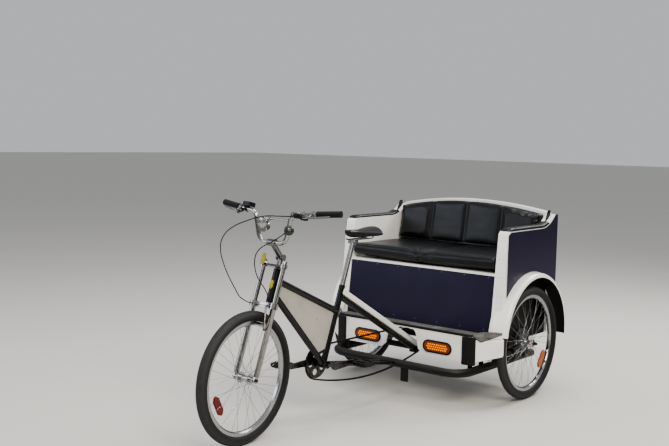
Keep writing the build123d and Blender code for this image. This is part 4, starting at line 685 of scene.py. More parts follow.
def lineArch(piece, side, settings):
    # Underseal on what the wheel sees: faces that look at the wheel from inside the arch
    middle = at(settings["archAxis"][0], 0, settings["archAxis"][1])
    for face in piece.data.polygons:
        away = face.center - middle
        reach = math.hypot(away.x, away.z)
        outward = (face.normal.x * away.x + face.normal.z * away.z) / max(reach, 1e-6)
        looksIn = outward < -0.3 and reach < settings["liningRadius"]
        facesWheel = face.normal.y * side > 0.6 and abs(face.center.y) < settings["archSide"]
        wall = facesWheel and reach < settings["liningRadius"] + settings["wallReach"]
        face.material_index = 1 if looksIn or wall else 0


for node in ("cab_side_left", "cab_side_right", "cab_floor", "cab_back", "fender_left", "fender_right"):
    piece = workCopy(node, node.replace("_", "") + "Shell")
    piece.data.materials.append(finishes["whiteGelcoat"])
    piece.data.materials.append(finishes["blackUnderseal"])
    if node.startswith("fender") or node.startswith("cab_side"):
        lineArch(piece, 1 if node.endswith("left") else -1, shellSet)
    soften(piece, shellSet["fenderRound" if node.startswith("fender") else "round"])
    place(piece, bodyOf[node], nodeSlot[node], node)
for node, width in softWidths.items():
    piece = workCopy(node, node.replace("_", "") + "Soft")
    piece.data.materials.append(finishes[nodeFinish[node]])
    soften(piece, width)
    place(piece, bodyOf[node], nodeSlot[node], node)

# Fork: chromed legs, the upper crown's bridge cast and painted black

crownSet = {"foot": 0.5655, "top": 0.5860, "halfWide": 0.034}


def makeTwoFinish(node, name, flatAngle, main, second, isSecond):
    piece = workCopy(node, name, flatAngle)
    piece.data.materials.append(finishes[main])
    piece.data.materials.append(finishes[second])
    for face in piece.data.polygons:
        face.material_index = 1 if isSecond(face.center) else 0
    smoothShade(piece.data, 30)
    place(piece, bodyOf[node], nodeSlot[node], node)


def onCrown(point):
    away = point - steerFoot
    sideways = abs(away.dot(parkedTurn @ yAxis))
    return crownSet["foot"] < away.dot(steerAxis) < crownSet["top"] and sideways < crownSet["halfWide"]


makeTwoFinish("fork", "forkDressed", 0.5, "chromedSteel", "blackEnamel", onCrown)

# Rear wheels: bright rim, hub and spokes, with a dull disc inside the hub

discSet = {"side": 0.554, "halfThick": 0.0014, "radius": 0.0815}


def onDisc(point):
    # Both rear wheels turn about one line, so one test serves both
    away = point - rearAxle
    beside = abs(abs(point.y) - discSet["side"]) < discSet["halfThick"]
    return beside and math.hypot(away.x, away.z) < discSet["radius"]


for node in ("rear_left_wheel", "rear_right_wheel"):
    makeTwoFinish(node, node.replace("_", "") + "Dressed", 0, "platedWheel", "discSteel", onDisc)
print("shell done")

# Cushions: the CAD form blown up as cloth, then seams

cushionSets = {
    "seat_cushion": {"shrink": (0.006, 0.004, 0.012), "cap": 0.011, "seams": (0.0,),
                     "pinBelow": 0.012, "fill": 0.8},
    "back_cushion": {"shrink": (0.006, 0.004, 0.008), "cap": 0.010, "seams": (-0.26, 0.0, 0.26),
                     "pinBelow": 0.0, "fill": 0.7},
}
clothSet = {"voxel": 0.009, "pressure": 4.0, "stiffness": 12, "quality": 4, "frames": 20, "pinSeam": 0.006,
            "pinBack": 0.016, "valleyHalf": 0.024,
            "valleyDeep": 0.007, "valleyGap": 0.02, "stand": 0.006}


def makeCushion(node, settings):
    low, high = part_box(node)
    piece = workCopy(node, node.replace("_c", "C"), 0)
    middle = (low + high) / 2
    half = (high - low) / 2
    shrink = [1 - s / h for s, h in zip(settings["shrink"], half)]
    for vertex in piece.data.vertices:
        away = vertex.co - middle
        vertex.co = middle + Vector((away.x * shrink[0], away.y * shrink[1], away.z * shrink[2]))
    remesh = piece.modifiers.new("remesh", "REMESH")
    remesh.mode = "VOXEL"
    remesh.voxel_size = clothSet["voxel"]
    settle(piece)
    smooth = piece.modifiers.new("smooth", "SMOOTH")
    smooth.iterations = 3
    settle(piece)
    rest = [v.co.copy() for v in piece.data.vertices]
    pins = piece.vertex_groups.new(name="pins")
    for vertex in piece.data.vertices:
        nearSeam = min(abs(vertex.co.y - seam) for seam in settings["seams"]) < clothSet["pinSeam"]
        onBack = vertex.co.x < low.x + clothSet["pinBack"]
        onFoot = settings["pinBelow"] and vertex.co.z < low.z + settings["pinBelow"]
        if nearSeam or onBack or onFoot:
            pins.add([vertex.index], 1.0, "REPLACE")
    cloth = piece.modifiers.new("cloth", "CLOTH")
    cloth.settings.use_pressure = True
    cloth.settings.uniform_pressure_force = clothSet["pressure"]
    cloth.settings.vertex_group_mass = "pins"
    cloth.settings.effector_weights.gravity = 0
    cloth.settings.quality = clothSet["quality"]
    cloth.settings.tension_stiffness = cloth.settings.compression_stiffness = clothSet["stiffness"]
    cloth.point_cache.frame_start = 1
    cloth.point_cache.frame_end = clothSet["frames"]
    for step in range(1, clothSet["frames"] + 1):
        scene.frame_set(step)
    settle(piece)
    scene.frame_set(1)
    for vertex, start in zip(piece.data.vertices, rest):
        moved = vertex.co - start
        if moved.length > settings["cap"]:
            vertex.co = start + moved.normalized() * settings["cap"]
        seam = min(abs(vertex.co.y - s) for s in settings["seams"])
        if seam < clothSet["valleyHalf"] and vertex.co.x > low.x + clothSet["valleyGap"]:  # the seam's valley
            vertex.co -= vertex.normal * clothSet["valleyDeep"] * (1 - seam / clothSet["valleyHalf"]) ** 2
        vertex.co.x = min(max(vertex.co.x, low.x), high.x + clothSet["stand"])
        vertex.co.y = min(max(vertex.co.y, low.y), high.y)
        vertex.co.z = max(vertex.co.z, low.z)
    piece.data.materials.clear()
    piece.data.materials.append(finishes["seatVinyl"])
    refine(piece)
    for face in piece.data.polygons:
        face.use_smooth = True
    place(piece, bodyOf[node], nodeSlot[node], node)
    return piece


cushions = {node: makeCushion(node, settings) for node, settings in cushionSets.items()}

weltSet = {"radius": 0.0032, "endGap": 0.024, "steps": 100, "window": 7, "sunk": 0.0012}


def makeWelt(node, settings):
    # Piped seam along the cushion's upper front edge, where its top and front panels meet
    low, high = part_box(node)
    corner = Vector((1, 0, 1)).normalized()
    half = (high.y - low.y) / 2 - settings["endGap"]
    steps = settings["steps"]
    best = [None] * (steps + 1)
    for vertex in cushions[node].data.vertices:
        i = round((vertex.co.y / half + 1) / 2 * steps)
        if 0 <= i <= steps and (best[i] is None or vertex.co.dot(corner) > best[i].dot(corner)):
            best[i] = vertex.co.copy()
    found = [point for point in best if point is not None]
    path = []
    for i in range(len(found)):
        near = found[max(i - settings["window"], 0):i + settings["window"] + 1]
        middle = sum(near, Vector()) / len(near)
        path.append(Vector((middle.x, found[i].y, middle.z)) - corner * settings["sunk"])
    form = tubeForm(path, settings["radius"], 8)
    addPiece(node.replace("_c", "C") + "Welt", form, "seatVinyl", bodyOf[node], nodeSlot[node])


makeWelt("seat_cushion", weltSet)
print("cushions done")

# Saddle: a padded leather-cloth form that narrows to its nose

saddleSet = {"length": 0.258, "rearHalf": 0.096, "noseHalf": 0.021, "thick": 0.044, "dip": 0.007, "inset": 0.004,
             "noseDrop": 0.006, "droop": 0.016, "taper": 1.25, "rings": 40, "turns": 32, "fill": 0.9}


def makeSaddle(settings):
    low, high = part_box("saddle")
    points = []
    rings, turns = settings["rings"], settings["turns"]
    for i in range(rings + 1):
        s = i / rings
        end = math.sqrt(max(0.0, 1 - abs(2 * s - 1) ** 6))
        narrowing = (0.5 + 0.5 * math.cos(math.pi * min(1, s * settings["taper"]))) ** 0.9
        wide = settings["noseHalf"] + (settings["rearHalf"] - settings["noseHalf"]) * narrowing
        wide *= max(end, 0.02) if s < 0.12 or s > 0.9 else 1.0
        top = high.z - settings["inset"] - settings["dip"] * math.sin(math.pi * s) ** 2 - settings["noseDrop"] * s
        for j in range(turns):
            turn = 2 * math.pi * j / turns
            y = wide * math.copysign(abs(math.cos(turn)) ** 0.85, math.cos(turn))
            rise = math.sin(turn)
            droop = settings["droop"] * (abs(y) / settings["rearHalf"]) ** 2
            z = top - droop + (rise - 1) * settings["thick"] / 2 * max(end, 0.25)
            points.append(Vector((low.x + settings["inset"] + s * settings["length"], y, max(z, low.z))))
    piece = meshPiece("saddlePad", points, ringFaces(rings + 1, turns, "capped"), "seatVinyl")
    refine(piece)
    place(piece, bodyOf["saddle"], nodeSlot["saddle"], "saddle")


makeSaddle(saddleSet)

# Arm pads: crowned vinyl over foam

padSet = {"planPower": 9, "risePower": 3.2, "rings": 20, "turns": 96, "fill": 0.9}
for node in ("arm_pad_left", "arm_pad_right"):
    low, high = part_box(node)
    form = padForm((low + high) / 2, (high - low) / 2, padSet["planPower"], padSet["risePower"], padSet["rings"],
                   padSet["turns"])
    piece = addPiece(node.replace("_", "") + "Crowned", form, "seatVinyl", bodyOf[node], nodeSlot[node], node)
print("pads done")

# Tyres: a carcass turned round its axle, with tread blocks set round it

tyreSet = {"radius": 0.335, "width": 0.057, "turnSteps": 120, "profile": 30, "pinchFrom": -0.2, "pinch": 0.16,
           "flare": 1.035, "slices": 118, "rowAngles": (-52, -32, -11, 11, 32, 52), "blockWide": 0.0085,
           "blockLong": 0.0148, "blockHeight": 0.0016, "blockSunk": 0.0012, "blockRoot": 0.0010, "blockSkew": 0.0035}
tyreJoints = {"front_tyre": "front_wheel_spin", "rear_left_tyre": "rear_left_spin",
              "rear_right_tyre": "rear_right_spin"}


def makeTyre(node, joint, settings):
    centre = Vector(joints[joint]["pos_m"])
    axle = Vector(joints[joint]["axis"]).normalized()
    ahead = (xAxis - axle * xAxis.dot(axle)).normalized()
    up = ahead.cross(axle)
    halfWide = settings["width"] / 2
    ringRadius = settings["radius"] - halfWide
    carcass = halfWide - settings["blockHeight"]
    points, crown = [], []
    profile, steps = settings["profile"], settings["turnSteps"]
    for i in range(steps):
        turn = 2 * math.pi * i / steps
        out = ahead * math.cos(turn) + up * math.sin(turn)
        for j in range(profile):
            lean = 2 * math.pi * j / profile
            reach = carcass
            if math.cos(lean) <= settings["pinchFrom"]:  # narrower towards the rim
                reach = carcass * (1 - settings["pinch"] * (settings["pinchFrom"] - math.cos(lean)))
            points.append(centre + out * (ringRadius + reach * math.cos(lean))
                          + axle * reach * settings["flare"] * math.sin(lean))
            crown.append(0.5 + 0.5 * math.cos(lean))
    piece = meshPiece(node.replace("_", "") + "Carcass", points, ringFaces(steps, profile, "joined"), "tyreRubber")
    heights = piece.data.attributes.new("crown", "FLOAT", "POINT")
    heights.data.foreach_set("value", crown)
    blockHalf = (settings["blockLong"] / 2, settings["blockWide"] / 2,
                 settings["blockHeight"] / 2 + settings["blockRoot"])
    blocks = []
    for row, angle in enumerate(settings["rowAngles"]):
        lean = math.radians(angle)
        outward = zAxis * math.cos(lean) + yAxis * math.sin(lean)
        sideways = yAxis * math.cos(lean) - zAxis * math.sin(lean)
        middle = outward * (carcass + settings["blockHeight"] / 2 - settings["blockSunk"])
        skew = settings["blockSkew"] if row % 2 else -settings["blockSkew"]
        blocks.append(boxForm(middle + xAxis * skew, (xAxis, sideways, outward), blockHalf, 0.9))
    places = []
    for i in range(settings["slices"]):
        turn = 2 * math.pi * i / settings["slices"]
        out = ahead * math.cos(turn) + up * math.sin(turn)
        along = up * math.cos(turn) - ahead * math.sin(turn)
        places.append((centre + out * ringRadius, Matrix((along, out.cross(along), out)).transposed()))
    tread = repeatPiece(node.replace("_", "") + "Tread", places, joinForms(blocks), "tyreRubber", sharp=25)
    heights = tread.data.attributes.new("crown", "FLOAT", "POINT")
    heights.data.foreach_set("value", [1.0] * len(tread.data.vertices))
    place(piece, bodyOf[node], nodeSlot[node], node)
    place(tread, bodyOf[node], nodeSlot[node])


for node, joint in tyreJoints.items():
    makeTyre(node, joint, tyreSet)
print("tyres done")

# Drive chain: plates, pins and rollers along the loop

chainSet = {"ring": (1166, 304), "sprocket": (0, 335), "ringReach": 90.1, "sprocketReach": 53.1, "sagRadius": 1920,
            "line": -45, "pitch": 12.7, "plateWide": 0.0085, "plateThick": 0.0012, "straightSteps": 90,
            "ringSteps": 60, "slackSteps": 90, "sprocketSteps": 50,
            # how far the plates stand off the middle, the roller's or pin's radius and half length, the first link
            "kinds": {"inner": (0.0024, 0.0039, 0.0018, 0), "outer": (0.0037, 0.0017, 0.0043, 1)}}


def makeChain(settings):
    ring, sprocket = Vector(settings["ring"]), Vector(settings["sprocket"])
    ringReach, sprocketReach, sag = settings["ringReach"], settings["sprocketReach"], settings["sagRadius"]
    span = (ring - sprocket).length
    lean = math.atan2(ring.y - sprocket.y, ring.x - sprocket.x)
    top = math.pi / 2 + lean + math.asin((ringReach - sprocketReach) / span)
    toRing, toSprocket = sag - ringReach, sag - sprocketReach
    along = (span ** 2 + toSprocket ** 2 - toRing ** 2) / (2 * span)
    upward = math.sqrt(toSprocket ** 2 - along ** 2)
    heart = sprocket + Vector((along * math.cos(lean) - upward * math.sin(lean),
                               along * math.sin(lean) + upward * math.cos(lean)))
    ringTurn = math.atan2(ring.y - heart.y, ring.x - heart.x)
    sprocketTurn = math.atan2(sprocket.y - heart.y, sprocket.x - heart.x)

    def arc(middle, radius, start, end, count):
        turns = [start + (end - start) * i / count for i in range(count + 1)]
        return [middle + Vector((math.cos(turn), math.sin(turn))) * radius for turn in turns]

    way = Vector((math.cos(top), math.sin(top)))
    rear, front = sprocket + way * sprocketReach, ring + way * ringReach
    straight = settings["straightSteps"]
    path = [rear + (front - rear) * i / straight for i in range(straight + 1)]
    path += arc(ring, ringReach, top, ringTurn, settings["ringSteps"])[1:]
    path += arc(heart, sag, ringTurn, sprocketTurn, settings["slackSteps"])[1:]
    path += arc(sprocket, sprocketReach, sprocketTurn, top - 2 * math.pi, settings["sprocketSteps"])[1:-1]
    lengths = [(path[(i + 1) % len(path)] - p).length for i, p in enumerate(path)]
    total = sum(lengths)
    count = 2 * round(total / settings["pitch"] / 2)
    step = total / count
    stops, travelled, i = [], 0.0, 0
    for k in range(count):
        goal = k * step
        while travelled + lengths[i] < goal:
            travelled += lengths[i]
            i += 1
        share = (goal - travelled) / lengths[i]
        stops.append(path[i].lerp(path[(i + 1) % len(path)], share))
    half = step / 2000
    halfWide, halfThick = settings["plateWide"] / 2, settings["plateThick"] / 2
    for kind, (side, radius, reach, first) in settings["kinds"].items():
        forms = []
        for sign in (-1, 1):
            outline = []
            for end in (1, -1):
                for n in range(7):
                    turn = math.pi * (n / 6 - 0.5) if end > 0 else math.pi * (n / 6 + 0.5)
                    outline.append((end * half + math.cos(turn) * halfWide * 0.95, math.sin(turn) * halfWide))
            shape = [Vector((x, sign * side + t, z)) for t in (-halfThick, halfThick) for x, z in outline]
            n = len(outline)
            sides = [(a, (a + 1) % n, n + (a + 1) % n, n + a) for a in range(n)]
            forms.append((shape, sides + [tuple(range(n)), tuple(range(n, 2 * n))]))
        for end in (-1, 1):
            forms.append(tubeForm([Vector((end * half, -reach, 0)), Vector((end * half, reach, 0))], radius, 10))
        places = []
        for k in range(first, count, 2):
            here, after = stops[k], stops[(k + 1) % count]
            middle = (here + after) / 2
            way = (after - here).normalized()
            forward = Vector((way.x, 0, way.y))
            turn = Matrix((forward, yAxis, forward.cross(yAxis))).transposed()
            places.append((at(middle.x, settings["line"], middle.y), turn))
        piece = repeatPiece("chain" + kind.capitalize() + "Links", places, joinForms(forms), "oiledChainSteel")
        place(piece, bodyOf["drive_chain"], nodeSlot["drive_chain"], "drive_chain")


makeChain(chainSet)
print("chain done")

# Lamps: rubber grommet, lens and rows of diodes, amber on the step and red on the cab's back

lampSets = {
    "amberLamp": {"node": "front_lamps", "place": 0.255, "splay": 0.0071, "way": 1, "seat": 0.0058,
                  "length": 0.200, "height": 0.076, "border": 0.0115, "depth": 1.0, "lens": "amberLens",
                  "diode": "amberDiode", "slot": "amber_lamp",
                  "rows": ((-0.0135, 9), (0.0, 10), (0.0135, 9)), "pitch": 0.0146, "diodeRadius": 0.0056},
    "tailLamp": {"node": "tail_lamps", "place": 0.400, "splay": 0.0, "way": -1, "seat": 0.0,
                 "length": 0.170, "height": 0.064, "border": 0.0085, "depth": 1.45, "lens": "redLens",
                 "diode": "redDiode", "slot": "red_lamp",
                 "rows": ((-0.0115, 8), (0.0, 9), (0.0115, 8)), "pitch": 0.0140, "diodeRadius": 0.0050},
}
# Sections of the grommet, as shares of its border, and of the lens, in metres: inset, then rise
lampSections = {
    "grommet": ((0.0, -0.0003), (0.0, 0.0045), (0.17, 0.0068), (0.48, 0.0078), (0.78, 0.0072), (1.0, 0.005),
                (1.0, -0.0003)),
    "lens": ((0.0, 0.0), (0.0, 0.0055), (0.0012, 0.0066), (0.0036, 0.0072)),
    "lap": 0.002,
}


def slotPath(length, height, count=24):
    # A stadium outline in the lamp's own plane
    radius = height / 2
    straight = length / 2 - radius
    path = []
    for end in (1, -1):
        for n in range(count + 1):
            turn = math.pi * (n / count - 0.5) + (0 if end > 0 else math.pi)
            path.append((end * straight + radius * math.cos(turn), radius * math.sin(turn)))
    return path


def makeLamp(name, side, settings):
    low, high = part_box(settings["node"])
    back = (low.x + high.x) / 2 - settings["seat"] if settings["seat"] else high.x
    heart = Vector((back, side * settings["place"], (low.z + high.z) / 2))
    out = Vector((settings["way"], side * settings["splay"], 0)).normalized()
    across = Vector((-out.y, out.x, 0))
    label = sideNames[side]

    def put(u, v, w):
        return heart + across * u + zAxis * v + out * w * settings["depth"]

    def stack(insets):
        points = []
        for less, rise in insets:
            points += [put(x, y, rise) for x, y in slotPath(settings["length"] - less, settings["height"] - less)]
        return points

    rim = len(slotPath(1, 0.5))
    border = settings["border"]
    profile = lampSections["grommet"]
    points = stack((0.001 + 2 * inset * border, rise) for inset, rise in profile)
    last = (len(profile) - 1) * rim
    foot = [(j, (j + 1) % rim, last + (j + 1) % rim, last + j) for j in range(rim)]
    grommet = (points, ringFaces(len(profile), rim) + foot)
    addPiece(name + "Grommet" + label, grommet, "mouldedRubber", "frame", "black_pad")
    layers = lampSections["lens"]
    points = stack((2 * border - 2 * lampSections["lap"] + 2 * inset, rise) for inset, rise in layers)
    lens = (points, ringFaces(len(layers), rim, "capped"))
    addPiece(name + "Lens" + label, lens, settings["lens"], "frame", settings["slot"], settings["node"])
    dome = domeForm(settings["diodeRadius"], settings["diodeRadius"] * 0.5, 12)
    turn = Matrix((across, zAxis, out)).transposed()
    places = [(put((i - (count - 1) / 2) * settings["pitch"], row, layers[-1][1]), turn)
              for row, count in settings["rows"] for i in range(count)]
    diodes = repeatPiece(name + "Diodes" + label, places, dome, settings["diode"], unevenness=0.04)
    place(diodes, "frame", settings["slot"])


for name, settings in lampSets.items():
    for side in (1, -1):
        makeLamp(name, side, settings)
print("lamps done")

# Reflectors on the spokes

reflectorSets = {
    "frontReflector": {"joint": "front_wheel_spin", "body": "front_wheel", "toward": (1952, 0, 235), "radius": 0.214,
                       "half": (0.055, 0.0045, 0.021), "finish": "redReflector"},
    "rearLeftReflector": {"joint": "rear_left_spin", "body": "rear_wheel_left", "toward": (-207, 600, 190),
                          "radius": 0.222,
                          "half": (0.058, 0.0045, 0.0235), "finish": "amberReflector"},
    "rearRightReflector": {"joint": "rear_right_spin", "body": "rear_wheel_right", "toward": (200, -600, 194),
                           "radius": 0.225,
                           "half": (0.057, 0.0045, 0.021), "finish": "amberReflector"},
}
reflectorCorners = ((-1.0, -0.34), (-0.66, -1.0), (0.66, -1.0), (1.0, -0.34),
                    (1.0, 0.34), (0.66, 1.0), (-0.66, 1.0), (-1.0, 0.34))


def makeReflector(name, settings):
    centre = Vector(joints[settings["joint"]]["pos_m"])
    axle = Vector(joints[settings["joint"]]["axis"]).normalized()
    away = at(*settings["toward"]) - centre
    out = (away - axle * away.dot(axle)).normalized()
    along = axle.cross(out)
    heart = centre + out * settings["radius"]
    points = []
    for inset, rise in ((0.0, -1), (0.0, 0.35), (0.10, 1)):
        for u, v in reflectorCorners:
            lengthwise = settings["half"][0] * (u - math.copysign(inset * 0.3, u))
            crosswise = settings["half"][2] * (v - math.copysign(inset, v))
            points.append(heart + along * lengthwise + out * crosswise + axle * settings["half"][1] * rise)
    piece = meshPiece(name, points, ringFaces(3, len(reflectorCorners), "capped"), settings["finish"])
    soften(piece, 0.0008, 2, 25)
    place(piece, settings["body"], "red_lamp" if "red" in settings["finish"] else "amber_lamp")


for name, settings in reflectorSets.items():
    makeReflector(name, settings)
print("reflectors done")

# Printed film on the cab's sides, trimmed to the arm's curve, the pillar and the arch

filmSet = {"front": 262, "rear": -340, "border": 7, "archRadius": 384, "thick": 0.0016, "foot": 560, "skin": 0.5929,
           "armCurve": ((-160, 1011), (-244, 1035), (-310, 1084)), "top": 1011, "columns": 70,
           "corner": {"from": 226, "to": 258, "high": 1005, "drop": 20}}


def arcThrough(first, second, third, count):
    # Points of the circle through three places of a plane
    ax, az = first
    bx, bz = second
    cx, cz = third
    aa, bb, cc = ax * ax + az * az, bx * bx + bz * bz, cx * cx + cz * cz
    d = 2 * (ax * (bz - cz) + bx * (cz - az) + cx * (az - bz))
    ux = (aa * (bz - cz) + bb * (cz - az) + cc * (az - bz)) / d
    uz = (aa * (cx - bx) + bb * (ax - cx) + cc * (bx - ax)) / d
    radius = math.hypot(ax - ux, az - uz)
    start = math.atan2(az - uz, ax - ux)
    end = math.atan2(cz - uz, cx - ux)
    if end - start > math.pi:
        end -= 2 * math.pi
    if start - end > math.pi:
        end += 2 * math.pi
    turns = [start + (end - start) * i / count for i in range(count + 1)]
    return [(ux + radius * math.cos(turn), uz + radius * math.sin(turn)) for turn in turns]


def topOfArm(x, curve, flat):
    for (x0, z0), (x1, z1) in zip(curve, curve[1:]):
        if x1 <= x <= x0:
            return z0 + (z1 - z0) * (x0 - x) / (x0 - x1)
    return flat if x > curve[0][0] else curve[-1][1] + (curve[-1][0] - x) * 0.25


armPath = arcThrough(*filmSet["armCurve"], 24)


def makeFilm(side, settings):
    border, columns, corner = settings["border"], settings["columns"], settings["corner"]
    points, faces = [], []
    archX, archZ = shellSet["archAxis"]
    for i in range(columns + 1):
        x = settings["rear"] + (settings["front"] - border - settings["rear"]) * i / columns
        if x > archX + settings["archRadius"]:
            low = settings["foot"]
        else:
            low = archZ + math.sqrt(max(settings["archRadius"] ** 2 - (x - archX) ** 2, 0))
        high = topOfArm(x, armPath, settings["top"]) - border
        if x > corner["from"]:
            fall = (x - corner["from"]) / (corner["to"] - corner["from"]) * corner["drop"]
            high = min(high, corner["high"] - fall)
        for layer in (0, 1):
            y = side * (settings["skin"] + layer * settings["thick"]) * 1000
            points += [at(x, y, low), at(x, y, high)]
    for i in range(columns):
        a, b = i * 4, (i + 1) * 4
        faces += [(a + 2, b + 2, b + 3, a + 3), (a, a + 1, b + 1, b),
                  (a + 1, a + 3, b + 3, b + 1), (a, b, b + 2, a + 2)]
    last = columns * 4
    faces += [(0, 2, 3, 1), (last, last + 1, last + 3, last + 2)]
    piece = meshPiece("sideFilm" + sideNames[side], points, faces, "indigoFilm", smooth=False)
    place(piece, "frame", "dark_sign", "side_sign_" + sideNames[side].lower())


for side in (1, -1):
    makeFilm(side, filmSet)

# Armrest covers: black vinyl over foam that follows the arm from its nose up to the canopy bracket

coverSet = {"nose": 238, "tail": -246, "wide": 0.0318, "thick": 0.017, "lap": 0.003, "middle": 0.5595,
            "steps": 30, "turns": 24, "endShare": 16, "thinnest": 0.05, "fill": 0.85}


def makeCover(side, settings):
    nose, steps, turns = settings["nose"], settings["steps"], settings["turns"]
    stops = [(nose + (armPath[0][0] - nose) * i / steps, filmSet["top"]) for i in range(steps)]
    stops += [stop for stop in armPath if stop[0] > settings["tail"]]
    points = []
    last = len(stops) - 1
    for i, (x, z) in enumerate(stops):
        before, after = stops[max(i - 1, 0)], stops[min(i + 1, last)]
        way = Vector((after[0] - before[0], 0, after[1] - before[1])).normalized()
        up = Vector((-way.z, 0, way.x))
        up = up if up.z > 0 else -up
        s = i / last
        fromEnd = min(s, 1 - s) * settings["endShare"]
        end = max((1 - max(0, 1 - fromEnd) ** 2) ** 0.5, settings["thinnest"])
        for j in range(turns):
            turn = 2 * math.pi * j / turns
            y = settings["wide"] * (0.94 + 0.06 * end)
            y *= math.copysign(abs(math.cos(turn)) ** 0.45, math.cos(turn))
            rise = math.sin(turn)
            h = settings["thick"] * abs(rise) ** 0.75 * end if rise > 0 else -settings["lap"] * abs(rise) ** 0.4
            points.append(at(x, 0, z) + Vector((0, side * settings["middle"] + y, 0)) + up * h)
    form = (points, ringFaces(last + 1, turns, "capped"))
    piece = addPiece("armCover" + sideNames[side], form, "seatVinyl", "frame", "black_pad")


for side in (1, -1):
    makeCover(side, coverSet)

# Step wings: a white crease that dips and rises, and a rubber leaf over it

leafSet = {"crease": ((431.5, 487.5, 414), (420, 509, 401), (411, 524, 388), (395, 551, 399), (378, 581, 413),
                      (365, 605, 425), (352, 629, 437)),
           "inner": ((426, 485, 427), (408, 497, 433), (392, 508, 438), (374, 526, 441), (356, 552, 441),
                     (342, 584, 442), (334, 616, 445)),
           "thick": 0.0022, "edge": 0.0013, "stops": 33, "rows": 9, "turnAt": 0.4, "edgeHigh": 421, "crown": 1.2,
           "away": (1.305, 0.735, 0), "riseStops": 14, "riseFrom": 412, "riseFoot": 410, "riseTop": 416}


def resample(points, count):
    # Even places on a smooth curve through the points
    lengths = [0.0]
    for a, b in zip(points, points[1:]):
        lengths.append(lengths[-1] + (b - a).length)
    out = []
    for i in range(count):
        goal = lengths[-1] * i / (count - 1)
        k = max(n for n in range(len(points) - 1) if lengths[n] <= goal + 1e-9)
        t = (goal - lengths[k]) / (lengths[k + 1] - lengths[k])
        p0, p1, p2, p3 = points[max(k - 1, 0)], points[k], points[k + 1], points[min(k + 2, len(points) - 1)]
        out.append(0.5 * ((2 * p1) + (p2 - p0) * t + (2 * p0 - 5 * p1 + 4 * p2 - p3) * t * t
                          + (3 * p1 - p0 - 3 * p2 + p3) * t ** 3))
    return out


def makeLeaf(side, settings):
    creases, inners = (resample([Vector(c) for c in settings[line]], settings["stops"]) for line in ("crease",
                                                                                                     "inner"))
    rows, turnAt, away = settings["rows"], settings["turnAt"], Vector(settings["away"])
    points, faces = [], []
    for c, n in zip(creases, inners):
        edge = Vector((c.x + 1.5, c.y + 1.0, max(c.z + 1, settings["edgeHigh"])))
        for r in range(rows):
            t = r / (rows - 1)
            if t < turnAt:
                spot = c.lerp(edge, t / turnAt) + away
            else:
                share = (t - turnAt) / (1 - turnAt)
                spot = edge.lerp(n, share) + zAxis * settings["crown"] * math.sin(math.pi * share)
            points.append(at(spot.x, side * spot.y, spot.z))
    for i in range(len(creases) - 1):
        for r in range(rows - 1):
            faces.append((i * rows + r, i * rows + r + 1, (i + 1) * rows + r + 1, (i + 1) * rows + r))
    label = sideNames[side]
    piece = meshPiece("wingLeaf" + label, points, faces, "gripMatRubber")
    thick = piece.modifiers.new("thick", "SOLIDIFY")
    thick.thickness = settings["thick"]
    thick.offset = 0.0
    settle(piece)
    place(piece, "frame", "mat")
    edge = [at(c.x + 2.2, side * (c.y + 1.2), c.z) for c in creases]
    addPiece("wingEdge" + label, tubeForm(edge, settings["edge"], 8), "mouldedRubber", "frame", "black_pad")
    # White moulding under the leaf where the wing climbs to the pillar
    count, foot, low = settings["riseStops"], settings["riseFoot"], settings["riseTop"]
    points = []
    climb = [c for c in creases if c.z > settings["riseFrom"]][-count:]
    for c, n in zip(climb, inners[-count:]):
        points += [at(c.x, side * c.y, foot), at(c.x, side * c.y, max(c.z, low)),
                   at(n.x - 4, side * n.y, max(n.z - 2.5, low)), at(n.x - 4, side * n.y, foot)]
    rise = (points, ringFaces(count, 4, "capped"))
    addPiece("wingRise" + label, rise, "whiteGelcoat", "frame", "white_shell")


for side in (1, -1):
    makeLeaf(side, leafSet)
print("trim done")

# Edge trim: a black rubber lip along the step's front, a white bead under it, and a lip over each bumper

trimSet = {"corner": 425, "front": 440, "lead": 3, "wide": 9, "high": 11.5, "top": 415, "steps": 60,
           "beadRadius": 0.0014, "beadDrop": 5.2, "lipWide": (-0.011, -0.003), "lipFoot": 0.4151, "lipDrop": -0.05,
           "lip": ((443, 424), (444.5, 448), (441, 470), (434.5, 486)),
           "profile": ((0.0, 0.0), (0.0, 0.62), (0.14, 0.9), (0.38, 1.0), (0.66, 1.0), (0.9, 0.84), (1.0, 0.55),
                       (1.0, -0.28))}


def makeStepTrim(settings):
    profile, corner, steps = settings["profile"], settings["corner"], settings["steps"]
    stops = [(-corner + 2 * corner * i / steps) for i in range(steps + 1)]
    fronts = [settings["front"] + settings["lead"] * abs(y) / corner for y in stops]
    points = [at(front + 0.8 - settings["wide"] * (1 - u), y, settings["top"] + 0.1 + settings["high"] * v)
              for front, y in zip(fronts, stops) for u, v in profile]
    form = (points, ringFaces(steps + 1, len(profile), "capped"))
    addPiece("stepTrim", form, "mouldedRubber", "frame", "black_pad")
    line = [at(front + 0.7, y, settings["top"] - settings["beadDrop"]) for front, y in zip(fronts, stops)]
    addPiece("stepBead", tubeForm(line, settings["beadRadius"], 10), "whiteEnamel", "frame", "white_shell")
    # The same lip over each corner bumper, its foot cut level
    for side in (1, -1):
        inward = Vector((settings["lipWide"][0], side * settings["lipWide"][1], 0))
        points = []
        for spot in (at(x, side * y, 0) for x, y in settings["lip"]):
            for u, v in profile:
                z = settings["lipFoot"] + settings["high"] / 1000 * max(v, settings["lipDrop"])
                points.append(Vector((spot.x + 0.0005, spot.y, z)) + inward * (1 - u))
        form = (points, ringFaces(len(settings["lip"]), len(profile), "capped"))
        addPiece("bumperLip" + sideNames[side], form, "mouldedRubber", "frame", "black_pad")


makeStepTrim(trimSet)

# Rivets and screws: each is cast along its way onto the named nodes

